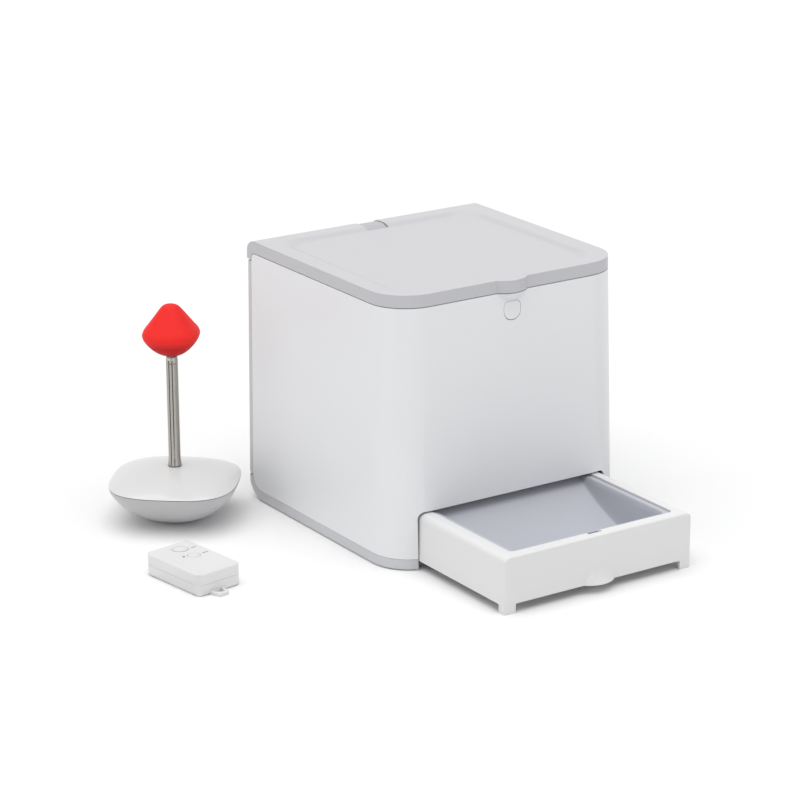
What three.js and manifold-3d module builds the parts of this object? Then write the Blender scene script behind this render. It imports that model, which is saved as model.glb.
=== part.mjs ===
// Remote treat dispenser: a hopper box with a sliding treat tray, a hand remote and a target wand.
// Millimetres, +Z up, +X to the viewer's right, the tray comes out towards -Y.
import * as THREE from "three";
import { mergeVertices } from "three/addons/utils/BufferGeometryUtils.js";
import Module from "manifold-3d";

const wasm = await Module();
wasm.setup();

// Driving dimensions of the box
const gap = 0.3;
const runGap = 0.5;
const overrun = 12;
const weld = 0.4;
const height = 222;
const halfWidth = 110.5;
const frontY = -104.5;
const rearY = 112;
const sideDraft = 0.0122;
const frontLean = 0.0334;
const frontRadius = 33;
const rearRadius = 2;
const wall = 2.5;
const lidBand = 10;
const underside = 1;
const arcSteps = [[20, 8], [10, 6], [3, 5], [0, 2]];
const curveSteps = 6;
const fineSides = 40;
const rodSides = 20;
const pinSides = 12;
const mergeTolerance = 1e-4;
const quarter = Math.PI / 2;

// Sizes that follow a limit such as the height: each is the limit less its own distance from it
function lessThan(limit, distances) {
  return Object.fromEntries(Object.entries(distances).map(([name, less]) => [name, limit - less]));
}

// The seams between the outer mouldings
const seam = {
  baseTop: 8.9, coverBottom: 21, panelRear: 105.3, panelTopRadius: 5,
  ...lessThan(height, { coverTop: 17.7 }), ...lessThan(height - lidBand, { shellTop: 0.6 }),
};
const bottomRadius = 21;
const panelRadius = 13.5;
const baseRearTop = 19.5;

// The tray's half width, and the opening that it slides through
const trayInset = 20.2;
const trayHalf = halfWidth - trayInset;
const bay = {
  ...lessThan(trayHalf, { halfWidth: -0.8 }), top: 47.5, radius: 6, footRadius: 1, floorFront: -103.2,
};

// Colours of the finishes
const finishes = {
  whiteShell: { color: 0xdcdde0, roughness: 0.42 },
  greyTrim: { color: 0xbfc1c5, roughness: 0.45 },
  lidGrey: { color: 0xd2d2d5, roughness: 0.45 },
  trayWhite: { color: 0xe6e7e9, roughness: 0.4 },
  bowlGrey: { color: 0xb9bdc6, roughness: 0.45 },
  innerPlastic: { color: 0x9da0a6, roughness: 0.6 },
  darkPlastic: { color: 0x2a2b2e, roughness: 0.5 },
  softRubber: { color: 0x55575b, roughness: 0.9 },
  redSilicone: { color: 0xe23a34, roughness: 0.55 },
  steel: { color: 0xb0b0b0, roughness: 0.3, metalness: 1 },
  gearPlastic: { color: 0xe8e4d8, roughness: 0.5 },
  boardGreen: { color: 0x2f6b45, roughness: 0.6 },
  windowBlack: { color: 0x15181c, roughness: 0.15 },
  cellJacket: { color: 0x6f7a86, roughness: 0.4, metalness: 0.3 },
};

// Solids from closed geometry
function solid(geometry) {
  const bare = new THREE.BufferGeometry();
  bare.setAttribute("position", geometry.getAttribute("position").clone());
  if (geometry.index) bare.setIndex(geometry.index.clone());
  const merged = mergeVertices(bare, mergeTolerance);
  const index = merged.index.array;
  const faces = [];
  for (let i = 0; i < index.length; i += 3) {
    const [a, b, c] = [index[i], index[i + 1], index[i + 2]];
    if (a !== b && b !== c && c !== a) faces.push(a, b, c);
  }
  const build = (list) =>
    new wasm.Manifold(
      new wasm.Mesh(
        { numProp: 3, vertProperties: merged.attributes.position.array, triVerts: new Uint32Array(list) },
      ),
    );
  const made = build(faces);
  if (made.volume() > 0) return made;
  const turned = [];
  for (let i = 0; i < faces.length; i += 3) turned.push(faces[i], faces[i + 2], faces[i + 1]);
  return build(turned);
}

function geometryOf(body) {
  const mesh = body.getMesh();
  const geometry = new THREE.BufferGeometry();
  geometry.setAttribute("position", new THREE.BufferAttribute(new Float32Array(mesh.vertProperties), 3));
  geometry.setIndex(new THREE.BufferAttribute(new Uint32Array(mesh.triVerts), 1));
  return geometry;
}

function join(...bodies) {
  return bodies.reduce((sum, body) => sum.add(body));
}

function cut(body, ...tools) {
  return tools.reduce((rest, tool) => rest.subtract(tool), body);
}

function common(...bodies) {
  return bodies.reduce((part, body) => part.intersect(body));
}

// Blocks, prisms and round pieces, given by where they start and end
function box(x0, x1, y0, y1, z0, z1) {
  const geometry = new THREE.BoxGeometry(x1 - x0, y1 - y0, z1 - z0);
  geometry.translate((x0 + x1) / 2, (y0 + y1) / 2, (z0 + z1) / 2);
  return solid(geometry);
}

function extrude(shape, depth) {
  return new THREE.ExtrudeGeometry(shape, { depth, bevelEnabled: false, curveSegments: curveSteps });
}

function prism(shape, z0, z1) {
  return solid(extrude(shape, z1 - z0).translate(0, 0, z0));
}

// The shape is drawn in (y, z)
function alongX(shape, x0, x1) {
  const geometry = extrude(shape, x1 - x0);
  const [x, y, z] = [new THREE.Vector3(1, 0, 0), new THREE.Vector3(0, 1, 0), new THREE.Vector3(0, 0, 1)];
  geometry.applyMatrix4(new THREE.Matrix4().makeBasis(y, z, x));
  return solid(geometry.translate(x0, 0, 0));
}

// The shape is drawn in (x, z)
function alongY(shape, y0, y1) {
  const geometry = extrude(shape, y1 - y0).rotateX(quarter);
  return solid(geometry.translate(0, y1, 0));
}

function rodZ(radius, x, y, z0, z1, sides = rodSides, topRadius = radius) {
  const geometry = new THREE.CylinderGeometry(topRadius, radius, z1 - z0, sides).rotateX(quarter);
  return solid(geometry.translate(x, y, (z0 + z1) / 2));
}

function rodX(radius, x0, x1, y, z, sides = pinSides) {
  const geometry = new THREE.CylinderGeometry(radius, radius, x1 - x0, sides).rotateZ(quarter);
  return solid(geometry.translate((x0 + x1) / 2, y, z));
}

function rodY(radius, x, y0, y1, z, sides = rodSides) {
  const geometry = new THREE.CylinderGeometry(radius, radius, y1 - y0, sides);
  return solid(geometry.translate(x, (y0 + y1) / 2, z));
}

function lathe(points, x, y, sides = fineSides) {
  const profile = points.map(([r, z]) => new THREE.Vector2(r, z));
  return solid(new THREE.LatheGeometry(profile, sides).rotateX(quarter).translate(x, y, 0));
}

// Adds an arc to a shape, with more steps where the radius is larger
function arc(shape, a, b, radius, from, to) {
  const sizes = arcSteps.findIndex(([least]) => radius >= least);
  const steps = Math.max(1, Math.round((arcSteps[sizes][1] * Math.abs(to - from)) / quarter));
  for (let i = 0; i <= steps; i += 1) {
    const turn = from + ((to - from) * i) / steps;
    shape.lineTo(a + radius * Math.cos(turn), b + radius * Math.sin(turn));
  }
}

function outline(x0, x1, y0, y1, front, rear = front) {
  const shape = new THREE.Shape();
  shape.moveTo(x0 + front, y0);
  shape.lineTo(x1 - front, y0);
  arc(shape, x1 - front, y0 + front, front, -quarter, 0);
  shape.lineTo(x1, y1 - rear);
  arc(shape, x1 - rear, y1 - rear, rear, 0, quarter);
  shape.lineTo(x0 + rear, y1);
  arc(shape, x0 + rear, y1 - rear, rear, quarter, 2 * quarter);
  shape.lineTo(x0, y0 + front);
  arc(shape, x0 + front, y0 + front, front, 2 * quarter, 3 * quarter);
  return shape;
}

function polygon(points) {
  return new THREE.Shape(points.map(([a, b]) => new THREE.Vector2(a, b)));
}

// A skin through rings of equally many points, closed by a fan at each end
function loft(rings) {
  const count = rings[0].length;
  const positions = rings.flat().flatMap((p) => [p.x, p.y, p.z]);
  const faces = [];
  for (let k = 0; k + 1 < rings.length; k += 1) {
    for (let i = 0; i < count; i += 1) {
      const [a, b] = [k * count + i, k * count + ((i + 1) % count)];
      faces.push(a, b, b + count, a, b + count, a + count);
    }
  }
  const ends = [rings[0], rings[rings.length - 1]];
  ends.forEach((ring, end) => {
    const centre = ring.reduce((sum, p) => sum.clone().add(p), new THREE.Vector3()).divideScalar(count);
    const hub = positions.length / 3;
    positions.push(centre.x, centre.y, centre.z);
    const first = end * (rings.length - 1) * count;
    for (let i = 0; i < count; i += 1) {
      const [a, b] = [first + i, first + ((i + 1) % count)];
      if (end === 0) faces.push(hub, b, a);
      else faces.push(hub, a, b);
    }
  });
  const geometry = new THREE.BufferGeometry();
  geometry.setAttribute("position", new THREE.Float32BufferAttribute(positions, 3));
  geometry.setIndex(faces);
  return solid(geometry);
}

// A ring between a circle (power 2) and a rounded square (higher powers)
function superRing(halfX, halfY, power, x, y, z, count) {
  const ring = [];
  for (let i = 0; i < count; i += 1) {
    const turn = (2 * Math.PI * i) / count;
    const [c, s] = [Math.cos(turn), Math.sin(turn)];
    const px = Math.sign(c) * Math.abs(c) ** (2 / power);
    const py = Math.sign(s) * Math.abs(s) ** (2 / power);
    ring.push(new THREE.Vector3(x + halfX * px, y + halfY * py, z));
  }
  return ring;
}

// The outer form: plain at the lid, wider and further forward towards the table
function lean(body) {
  const geometry = geometryOf(body);
  const position = geometry.getAttribute("position");
  for (let i = 0; i < position.count; i += 1) {
    const drop = height - position.getZ(i);
    const depthShare = (rearY - position.getY(i)) / (rearY - frontY);
    position.setX(i, position.getX(i) * (1 + (sideDraft * drop) / halfWidth));
    position.setY(i, position.getY(i) - frontLean * drop * depthShare);
  }
  return solid(geometry);
}

function frontAt(z) {
  return frontY - frontLean * (height - z);
}

function formBlock(inset, z0, z1, rear = rearY - inset) {
  const half = halfWidth - inset;
  const plan = outline(-half, half, frontY + inset, rear, frontRadius - inset, rearRadius);
  const radius = bottomRadius - inset;
  const side = new THREE.Shape();
  side.moveTo(frontY - overrun, underside + inset);
  side.lineTo(rearY - bottomRadius, underside + inset);
  arc(side, rearY - bottomRadius, underside + bottomRadius, radius, -quarter, 0);
  side.lineTo(rearY - inset, height + overrun);
  side.lineTo(frontY - overrun, height + overrun);
  return lean(common(prism(plan, z0, z1), alongX(side, -halfWidth - overrun, halfWidth + overrun)));
}

// The same form with no rounding at its bottom rear
function planBlock(inset, z0, z1) {
  const half = halfWidth - inset;
  const plan = outline(-half, half, frontY + inset, rearY - inset, frontRadius - inset, rearRadius);
  return lean(prism(plan, z0, z1));
}

// A flat band between two insets of the outer form
function formBand(outerInset, innerInset, z0, z1) {
  return cut(formBlock(outerInset, z0, z1), formBlock(innerInset, z0 - overrun, z1 + overrun));
}

const root = new THREE.Group();

function place(group, name, body, finish) {
  const mesh = new THREE.Mesh(geometryOf(body), new THREE.MeshStandardMaterial(finishes[finish]));
  mesh.name = name;
  group.add(mesh);
}

// Rubber feet and base screws stand in the strips beside the tray
const foot = { radius: 6, height: 2, ...lessThan(halfWidth, { x: 9.5 }), yFront: -72, yRear: 84 };
const screw = {
  x: foot.x, yFront: -46, yRear: 58, head: 3, shank: 1.3, headTop: 2.6, top: 20, postRadius: 3.6,
  postTop: 32, ribReach: 1,
};
const footPlaces = [
  [-foot.x, foot.yFront],
  [foot.x, foot.yFront],
  [-foot.x, foot.yRear],
  [foot.x, foot.yRear],
];
const screwPlaces = [
  [-screw.x, screw.yFront],
  [screw.x, screw.yFront],
  [-screw.x, screw.yRear],
  [screw.x, screw.yRear],
];

// Base pan: floor, low band, a curved rear corner and a lip inside the shell
const base = {
  floorTop: 3.5, lipWall: 1.8, lipTop: 14, lipRear: 86, ...lessThan(halfWidth, { plateauX: 24.5 }),
  plateauFront: -98, plateauRear: 88, plateauRadius: 8,
};

function basePan() {
  const region = new THREE.Shape();
  const cornerY = seam.panelRear - panelRadius + gap;
  const cornerZ = seam.baseTop + panelRadius + gap;
  region.moveTo(frontY - overrun, 0);
  region.lineTo(rearY + overrun, 0);
  region.lineTo(rearY + overrun, baseRearTop);
  const endTurn = Math.asin((baseRearTop - cornerZ) / (panelRadius + gap));
  region.lineTo(cornerY + Math.cos(endTurn) * (panelRadius + gap), baseRearTop);
  arc(region, cornerY, cornerZ, panelRadius + gap, endTurn, -quarter);
  region.lineTo(frontY - overrun, seam.baseTop);
  const skin = cut(formBlock(0, underside, baseRearTop), formBlock(wall, base.floorTop, height));
  const band = common(skin, alongX(region, -halfWidth - overrun, halfWidth + overrun));
  const lipInset = wall + gap;
  const lipRing = cut(
    planBlock(lipInset, base.floorTop - weld, base.lipTop),
    planBlock(lipInset + base.lipWall, 0, base.lipTop + overrun),
  );
  const lip = common(
    lipRing, box(-halfWidth * 2, halfWidth * 2, frontY - overrun, base.lipRear, 0, height),
  );
  const plateauPlan = outline(
    -base.plateauX, base.plateauX, base.plateauFront, base.plateauRear, base.plateauRadius,
  );
  const plateau = prism(plateauPlan, 0, underside + weld);
  const mouth = box(-bay.halfWidth, bay.halfWidth, frontY - overrun, bay.floorFront, -overrun, height);
  const footPockets = footPlaces.map(
    ([x, y]) => rodZ(foot.radius + gap, x, y, -overrun, foot.height + gap),
  );
  const heads = screwPlaces.map(([x, y]) => rodZ(screw.head + gap, x, y, -overrun, screw.headTop));
  const holes = screwPlaces.map(([x, y]) => rodZ(screw.shank + gap, x, y, -overrun, base.lipTop, pinSides));
  return cut(join(band, lip, plateau), mouth, ...footPockets, ...heads, ...holes);
}
place(root, "base_pan", basePan(), "greyTrim");

footPlaces.forEach(([x, y], i) => {
  place(root, `rubber_foot_${i + 1}`, rodZ(foot.radius, x, y, 0, foot.height), "softRubber");
});
screwPlaces.forEach(([x, y], i) => {
  const head = rodZ(screw.head, x, y, underside + gap, screw.headTop - gap, pinSides);
  const shank = rodZ(screw.shank, x, y, underside + gap, screw.top, pinSides);
  place(root, `base_screw_${i + 1}`, join(head, shank), "steel");
});

// The tab at the front of the lid, and the boss under it
const tab = { halfWidth: 14.8, reach: 6.5, ...lessThan(height, { bossBottom: 18.3 }) };
tab.radius = (tab.halfWidth ** 2 + tab.reach ** 2) / (2 * tab.reach);
tab.y = frontY - tab.reach + tab.radius;

// Latch button: a tongue under the boss on a cross bar, with a catch finger above
const latch = {
  halfWidth: 7.8, ...lessThan(height, { bottom: 33.2, top: 18.4, barZ: 20, fingerTop: 13.4 }),
  cornerRadius: 7.2, topRadius: 4, slit: 0.3, footGap: 0.6, barRadius: 1.2, barBack: 1.6, barHalf: 12.2,
  earInner: 10, earOuter: 12.8, earDepth: 4.4, earHeight: 5.6, fingerHalf: 5, fingerBack: 1.2, nose: 0.6,
  noseHeight: 1, hookInset: 1, roomHalf: 14, roomRear: -95.5, webHalf: 5, webHeight: 2,
};
latch.barY = frontAt(latch.barZ) + wall + latch.barBack;

function tongueShape(grow, foot) {
  const half = latch.halfWidth + grow;
  const bottom = latch.bottom - foot;
  const top = latch.top + grow;
  const radius = latch.cornerRadius + grow;
  const topRadius = latch.topRadius + grow;
  const shape = new THREE.Shape();
  shape.moveTo(-half, top - topRadius);
  shape.lineTo(-half, bottom + radius);
  arc(shape, -half + radius, bottom + radius, radius, 2 * quarter, 3 * quarter);
  shape.lineTo(half - radius, bottom);
  arc(shape, half - radius, bottom + radius, radius, -quarter, 0);
  shape.lineTo(half, top - topRadius);
  arc(shape, half - topRadius, top - topRadius, topRadius, 0, quarter);
  shape.lineTo(-half + topRadius, top);
  arc(shape, -half + topRadius, top - topRadius, topRadius, quarter, 2 * quarter);
  return shape;
}

// Hopper and shell ledge heights
const hopper = {
  ...lessThan(height, { ledgeTop: 19.3, flangeTop: 16.8 }), ledgeDepth: 3, ledgeReach: 5, ledgeRear: 98,
  flangeDepth: 2.2, flangeInset: 3.1, flangeRear: 84.9, ...lessThan(halfWidth, { halfX: 12.5 }),
  halfY: 85, y: -5, power: 6, wall: 2.6, tubBottom: 136, outletZ: 101, ringCount: 48,
};
const rotor = { y: -20, panRadius: 66.5, panInner: 62.5, radius: 61.8, outletRadius: 62 };

// Shell: the white wrap of front and sides
function shell() {
  const panel = new THREE.Shape();
  const rear = seam.panelRear;
  const topRadius = seam.panelTopRadius;
  panel.moveTo(frontY - overrun, seam.baseTop + gap);
  panel.lineTo(rear - panelRadius, seam.baseTop + gap);
  arc(panel, rear - panelRadius, seam.baseTop + gap + panelRadius, panelRadius, -quarter, 0);
  panel.lineTo(rear, seam.shellTop - topRadius);
  arc(panel, rear - topRadius, seam.shellTop - topRadius, topRadius, 0, quarter);
  panel.lineTo(frontY - overrun, seam.shellTop);
  const region = alongX(panel, -halfWidth - overrun, halfWidth + overrun);
  const inside = formBlock(wall, underside, height + overrun);
  const boss = cut(
    rodZ(tab.y - frontAt(tab.bossBottom), 0, tab.y, tab.bossBottom, seam.shellTop, fineSides, tab.radius),
    inside,
  );
  const skin = common(formBand(0, wall, underside, seam.shellTop), region);
  const ledgeBottom = hopper.ledgeTop - hopper.ledgeDepth;
  const ledgeRing = formBand(wall - weld, wall + hopper.ledgeReach, ledgeBottom, hopper.ledgeTop);
  const ledge = common(
    ledgeRing, box(-halfWidth * 2, halfWidth * 2, frontY - overrun, hopper.ledgeRear, 0, height),
  );
  const room = box(
    -latch.roomHalf, latch.roomHalf, frontAt(0) - overrun, latch.roomRear, ledgeBottom - weld, height,
  );
  const posts = screwPlaces.map(([x, y]) => {
    const side = Math.sign(x);
    const [a, b] = [x, side * (halfWidth + screw.ribReach)].sort((p, q) => p - q);
    const rib = box(a, b, y - screw.shank, y + screw.shank, base.lipTop + gap, screw.postTop);
    return join(rodZ(screw.postRadius, x, y, base.floorTop + gap, screw.postTop, pinSides), rib);
  });
  const bores = screwPlaces.map(([x, y]) => rodZ(screw.shank + gap, x, y, 0, screw.top + gap, pinSides));
  const ears = [-1, 1].map((side) => {
    const [a, b] = [side * latch.earInner, side * latch.earOuter].sort((p, q) => p - q);
    const y0 = frontAt(latch.barZ) + wall - weld;
    const halfEar = latch.earHeight / 2;
    return box(a, b, y0, y0 + latch.earDepth, latch.barZ - halfEar, latch.barZ + halfEar);
  });
  const barHole = rodX(latch.barRadius + gap, -latch.roomHalf, latch.roomHalf, latch.barY, latch.barZ);
  const tongueHole = alongY(
    tongueShape(latch.slit, latch.footGap), frontAt(0) - overrun, frontY + wall + weld,
  );
  const bayShape = outline(-bay.halfWidth, bay.halfWidth, -overrun, bay.top, bay.footRadius, bay.radius);
  const bayHole = alongY(bayShape, frontAt(0) - overrun, bay.floorFront);
  const joined = join(skin, boss, cut(ledge, room), ...posts, ...ears);
  return cut(joined, barHole, tongueHole, bayHole, ...bores);
}
place(root, "shell", shell(), "whiteShell");

function latchButton() {
  const skin = formBand(0, wall, latch.bottom - overrun, latch.top + overrun);
  const tongue = common(skin, alongY(tongueShape(0, 0), frontAt(0) - overrun, frontY + wall + overrun));
  const bar = rodX(latch.barRadius, -latch.barHalf, latch.barHalf, latch.barY, latch.barZ);
  const halfWeb = latch.webHeight / 2;
  const webFront = frontAt(latch.barZ) + wall - weld;
  const web = box(
    -latch.webHalf, latch.webHalf, webFront, latch.barY, latch.barZ - halfWeb, latch.barZ + halfWeb,
  );
  const half = latch.fingerHalf;
  const back = latch.barY + latch.fingerBack;
  const finger = box(-half, half, latch.barY - gap, back, latch.barZ, latch.fingerTop);
  const noseBottom = latch.fingerTop - latch.noseHeight;
  const nose = box(-half, half, back - weld, back + latch.nose, noseBottom, latch.fingerTop);
  return join(tongue, bar, web, finger, nose);
}
place(root, "latch_button", latchButton(), "whiteShell");

// Lid and its hinge
const lid = {
  bottom: height - lidBand, rear: 113.8, rearTopRadius: 13,
  ...lessThan(height, { skirtBottom: 16.2, plateTop: 3, rimBottom: 16 }), wrapFront: 105.9,
  wrapRadius: 5.5, edge: 1.5, plate: 2.6, rimWidth: 13.5, rimRearY: 92, slope: 10, dishRadius: 20,
  rimInset: 3.3, rimWall: 2, rimRear: 83.6, notchHalf: 10.4, notchFront: 85, earOuter: 17, earFront: 104,
};
const hinge = {
  y: 110.3, ...lessThan(height, { z: 13.7 }), pinRadius: 1.5, pinHalf: 16.4, holeRadius: 1.8,
};
const seal = {
  ...lessThan(halfWidth, { halfX: 8.5 }), ...lessThan(height, { bottom: 16.5, top: 13.6 }), front: -94,
  rear: 80.5, radius: 30, width: 3,
};

// The soft rise from the lid's dish to its rim
const dishShares = [0, 0.12, 0.26, 0.42, 0.58, 0.74, 0.88, 1];

function sealOutline(inset) {
  const half = seal.halfX - inset;
  return outline(-half, half, seal.front + inset, seal.rear - inset, seal.radius - inset);
}

function lidPart() {
  const edge = lid.edge;
  const profile = new THREE.Shape();
  profile.moveTo(frontY - overrun, height);
  profile.lineTo(lid.rear - lid.rearTopRadius, height);
  arc(profile, lid.rear - lid.rearTopRadius, height - lid.rearTopRadius, lid.rearTopRadius, quarter, 0);
  profile.lineTo(lid.rear, lid.skirtBottom + edge);
  arc(profile, lid.rear - edge, lid.skirtBottom + edge, edge, 0, -quarter);
  profile.lineTo(lid.wrapFront + edge, lid.skirtBottom);
  arc(profile, lid.wrapFront + edge, lid.skirtBottom + edge, edge, -quarter, -2 * quarter);
  profile.lineTo(lid.wrapFront, lid.bottom - lid.wrapRadius);
  arc(profile, lid.wrapFront - lid.wrapRadius, lid.bottom - lid.wrapRadius, lid.wrapRadius, 0, quarter);
  profile.lineTo(frontY - overrun, lid.bottom);
  const region = alongX(profile, -halfWidth - overrun, halfWidth + overrun);
  const planOf = (inset) =>
    outline(
      -halfWidth + inset, halfWidth - inset, frontY + inset, lid.rear - inset, frontRadius - inset,
      rearRadius,
    );
  const block = common(lean(prism(planOf(0), lid.skirtBottom - overrun, height)), region);
  const tabDisc = rodZ(tab.radius, 0, tab.y, lid.bottom, height, fineSides);
  const tabBulge = common(tabDisc, box(-halfWidth, halfWidth, frontY - overrun, frontY + wall, 0, height));
  const plateBottom = lid.plateTop - lid.plate;
  const hollow = lean(prism(planOf(wall), 0, plateBottom));
  const dishHalf = halfWidth - lid.rimWidth;
  const dishOf = (inset) =>
    outline(-dishHalf + inset, dishHalf - inset, frontY + lid.rimWidth + inset, lid.rimRearY - inset,
      lid.dishRadius).getPoints();
  const ringAt = (inset, z) => dishOf(inset).slice(0, -1).map((p) => new THREE.Vector3(p.x, p.y, z));
  const slopeRise = height - lid.plateTop;
  const slopeRings = dishShares.map((share) => {
    const rise = share * share * (3 - 2 * share);
    return ringAt(lid.slope * (1 - share), lid.plateTop + slopeRise * rise);
  });
  const recess = loft([...slopeRings, ringAt(0, height + slopeRise)]);
  const tabHollow = rodZ(tab.radius - wall, 0, tab.y, 0, plateBottom, fineSides);
  const caps = cut(join(block, tabBulge), hollow, tabHollow, recess);
  const rimHalf = halfWidth - lid.rimInset;
  const rimPlan = (inset) =>
    outline(-rimHalf + inset, rimHalf - inset, frontY + lid.rimInset + inset, lid.rimRear - inset,
      frontRadius - lid.rimInset - inset, rearRadius);
  const rim = cut(
    prism(rimPlan(0), lid.rimBottom, plateBottom + weld), prism(rimPlan(lid.rimWall), 0, height),
  );
  const rimGap = box(-latch.roomHalf, latch.roomHalf, frontAt(0), latch.roomRear, 0, plateBottom);
  const rib = cut(
    prism(sealOutline(weld), seal.top + gap, plateBottom + weld),
    prism(sealOutline(seal.width - weld), 0, height),
  );
  const earBottom = lid.skirtBottom + gap;
  const ears = [-1, 1].map((side) => {
    const [a, b] = [side * lid.notchHalf, side * lid.earOuter].sort((p, q) => p - q);
    return common(box(a, b, lid.earFront, lid.rear, earBottom, height - lid.rearTopRadius / 2), block);
  });
  const hookFront = latch.barY + latch.fingerBack + latch.nose + gap;
  const hookHalf = latch.fingerHalf - latch.hookInset;
  const hookBottom = latch.fingerTop - 2 * latch.noseHeight - gap;
  const hook = join(
    box(
      -hookHalf, hookHalf, hookFront + latch.nose, hookFront + latch.nose + lid.rimWall, hookBottom,
      plateBottom + weld,
    ),
    box(-hookHalf, hookHalf, hookFront, hookFront + lid.rimWall, hookBottom, hookBottom + latch.noseHeight),
  );
  const notch = box(-lid.notchHalf, lid.notchHalf, lid.notchFront, lid.rear + overrun, 0, height + overrun);
  const pinHole = rodX(hinge.holeRadius, -lid.earOuter + gap, lid.earOuter - gap, hinge.y, hinge.z);
  return cut(join(caps, cut(rim, rimGap), rib, hook, ...ears), notch, pinHole);
}
place(root, "lid", lidPart(), "lidGrey");

const sealRing = cut(
  prism(sealOutline(0), seal.bottom, seal.top), prism(sealOutline(seal.width), 0, height),
);
place(root, "lid_seal", sealRing, "softRubber");

// Hinge knuckle: a block in the lid's notch on a tongue behind the rear cover
const knuckle = {
  half: 10, front: 85.5, shoulderY: 88, flatY: 93,
  ...lessThan(height, { frontTop: 4.9, shoulderZ: 2.6, top: 0.8, bottom: 17.1, tongueBottom: 32 }),
  tongueFront: 103, rearDrop: 0.9, endShare: 1 / 3, hollowWall: 2.2,
};

function hingeKnuckle() {
  const radius = lid.rearTopRadius - knuckle.rearDrop;
  const centreY = lid.rear - lid.rearTopRadius;
  const centreZ = height - lid.rearTopRadius;
  const profile = new THREE.Shape();
  profile.moveTo(knuckle.front, knuckle.bottom);
  profile.lineTo(knuckle.front, knuckle.frontTop);
  profile.lineTo(knuckle.shoulderY, knuckle.shoulderZ);
  profile.lineTo(knuckle.flatY, knuckle.top);
  profile.lineTo(centreY, centreZ + radius);
  arc(profile, centreY, centreZ, radius, quarter, Math.asin(knuckle.endShare));
  profile.lineTo(rearY, centreZ);
  profile.lineTo(rearY, knuckle.bottom);
  profile.lineTo(rearY - wall - gap, knuckle.bottom);
  profile.lineTo(rearY - wall - gap, knuckle.tongueBottom);
  profile.lineTo(knuckle.tongueFront, knuckle.tongueBottom);
  profile.lineTo(knuckle.tongueFront, knuckle.bottom);
  const body = alongX(profile, -knuckle.half, knuckle.half);
  const inner = knuckle.hollowWall;
  const pocket = box(
    -knuckle.half + inner, knuckle.half - inner, knuckle.front + inner, knuckle.tongueFront,
    0, knuckle.frontTop - inner,
  );
  return cut(body, pocket, rodX(hinge.holeRadius, -halfWidth, halfWidth, hinge.y, hinge.z));
}
place(root, "hinge_knuckle", hingeKnuckle(), "lidGrey");
place(root, "hinge_pin", rodX(hinge.pinRadius, -hinge.pinHalf, hinge.pinHalf, hinge.y, hinge.z), "steel");

// Rear cover with battery opening, display, buttons, switch and speaker slots
const batteryDoor = {
  halfX: 65, bottom: 25.5, top: 97, radius: 5, lip: 3, lipDepth: 1.6, gripHalf: 12, gripHeight: 5,
  grip: 1.2,
};
const display = { halfX: 24, ...lessThan(height, { bottom: 58, top: 40 }), radius: 3 };
const menuButton = {
  radius: 4.8, ...lessThan(height, { z: 74 }), spacing: 26, count: 3, proud: 1, flange: 6,
  flangeDepth: 1.6, tail: 3.4,
};
const powerSwitch = {
  x: -66, z: menuButton.z, halfX: 3, halfZ: 3.4, travel: 4, proud: 1.6, plate: 1.4, slotGap: 0.4,
};
const speaker = {
  x: 72, z: menuButton.z, radius: 17, depth: 8, slots: 5, slotHalf: 1.1, slotPitch: 5.2, slotReach: 13,
};
const board = {
  halfX: 44, ...lessThan(height, { bottom: 94, top: 35 }), thick: 1.6, back: 103.6, postRadius: 3,
  postInset: 5,
};
const vents = { count: 6, halfX: 1.4, halfZ: 9, pitch: 7, ...lessThan(height, { z: 104 }) };

function switchSlot(grow) {
  const half = powerSwitch.halfX + grow;
  const low = powerSwitch.z - powerSwitch.halfZ - grow;
  const high = powerSwitch.z + powerSwitch.halfZ + grow;
  const reach = powerSwitch.x + powerSwitch.travel + half;
  return box(powerSwitch.x - half, reach, rearY - overrun, rearY + overrun, low, high);
}

function rearCover() {
  const skin = formBand(0, wall, seam.coverBottom, seam.coverTop);
  const region = box(-halfWidth * 2, halfWidth * 2, seam.panelRear + gap, rearY + overrun, 0, height);
  const through = [rearY - wall - overrun, rearY + overrun];
  const doorHole = alongY(doorShape(gap), ...through);
  const displayPlan = outline(
    -display.halfX - gap, display.halfX + gap, display.bottom - gap, display.top + gap, display.radius,
  );
  const displayHole = alongY(displayPlan, ...through);
  const buttonHoles = buttonPlaces.map((x) => rodY(menuButton.radius + gap, x, ...through, menuButton.z));
  const slots = [];
  for (let i = 0; i < speaker.slots; i += 1) {
    const z = speaker.z + (i - (speaker.slots - 1) / 2) * speaker.slotPitch;
    slots.push(box(speaker.x - speaker.slotReach, speaker.x + speaker.slotReach, ...through,
      z - speaker.slotHalf, z + speaker.slotHalf));
  }
  for (let i = 0; i < vents.count; i += 1) {
    const x = (i - (vents.count - 1) / 2) * vents.pitch;
    slots.push(
      box(x - vents.halfX, x + vents.halfX, ...through, vents.z - vents.halfZ, vents.z + vents.halfZ),
    );
  }
  const posts = [];
  for (const side of [-1, 1]) {
    for (const z of [board.bottom + board.postInset, board.top - board.postInset]) {
      const x = side * (board.halfX - board.postInset);
      posts.push(rodY(board.postRadius, x, board.back + gap, rearY - wall + weld, z, pinSides));
    }
  }
  const body = join(common(skin, region), ...posts);
  return cut(body, doorHole, displayHole, switchSlot(powerSwitch.slotGap), ...buttonHoles, ...slots);
}

function doorShape(grow) {
  const half = batteryDoor.halfX + grow;
  return outline(-half, half, batteryDoor.bottom - grow, batteryDoor.top + grow, batteryDoor.radius);
}

const buttonPlaces = [];
for (let i = 0; i < menuButton.count; i += 1) {
  buttonPlaces.push((i - (menuButton.count - 1) / 2) * menuButton.spacing);
}
place(root, "rear_cover", rearCover(), "greyTrim");

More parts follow.
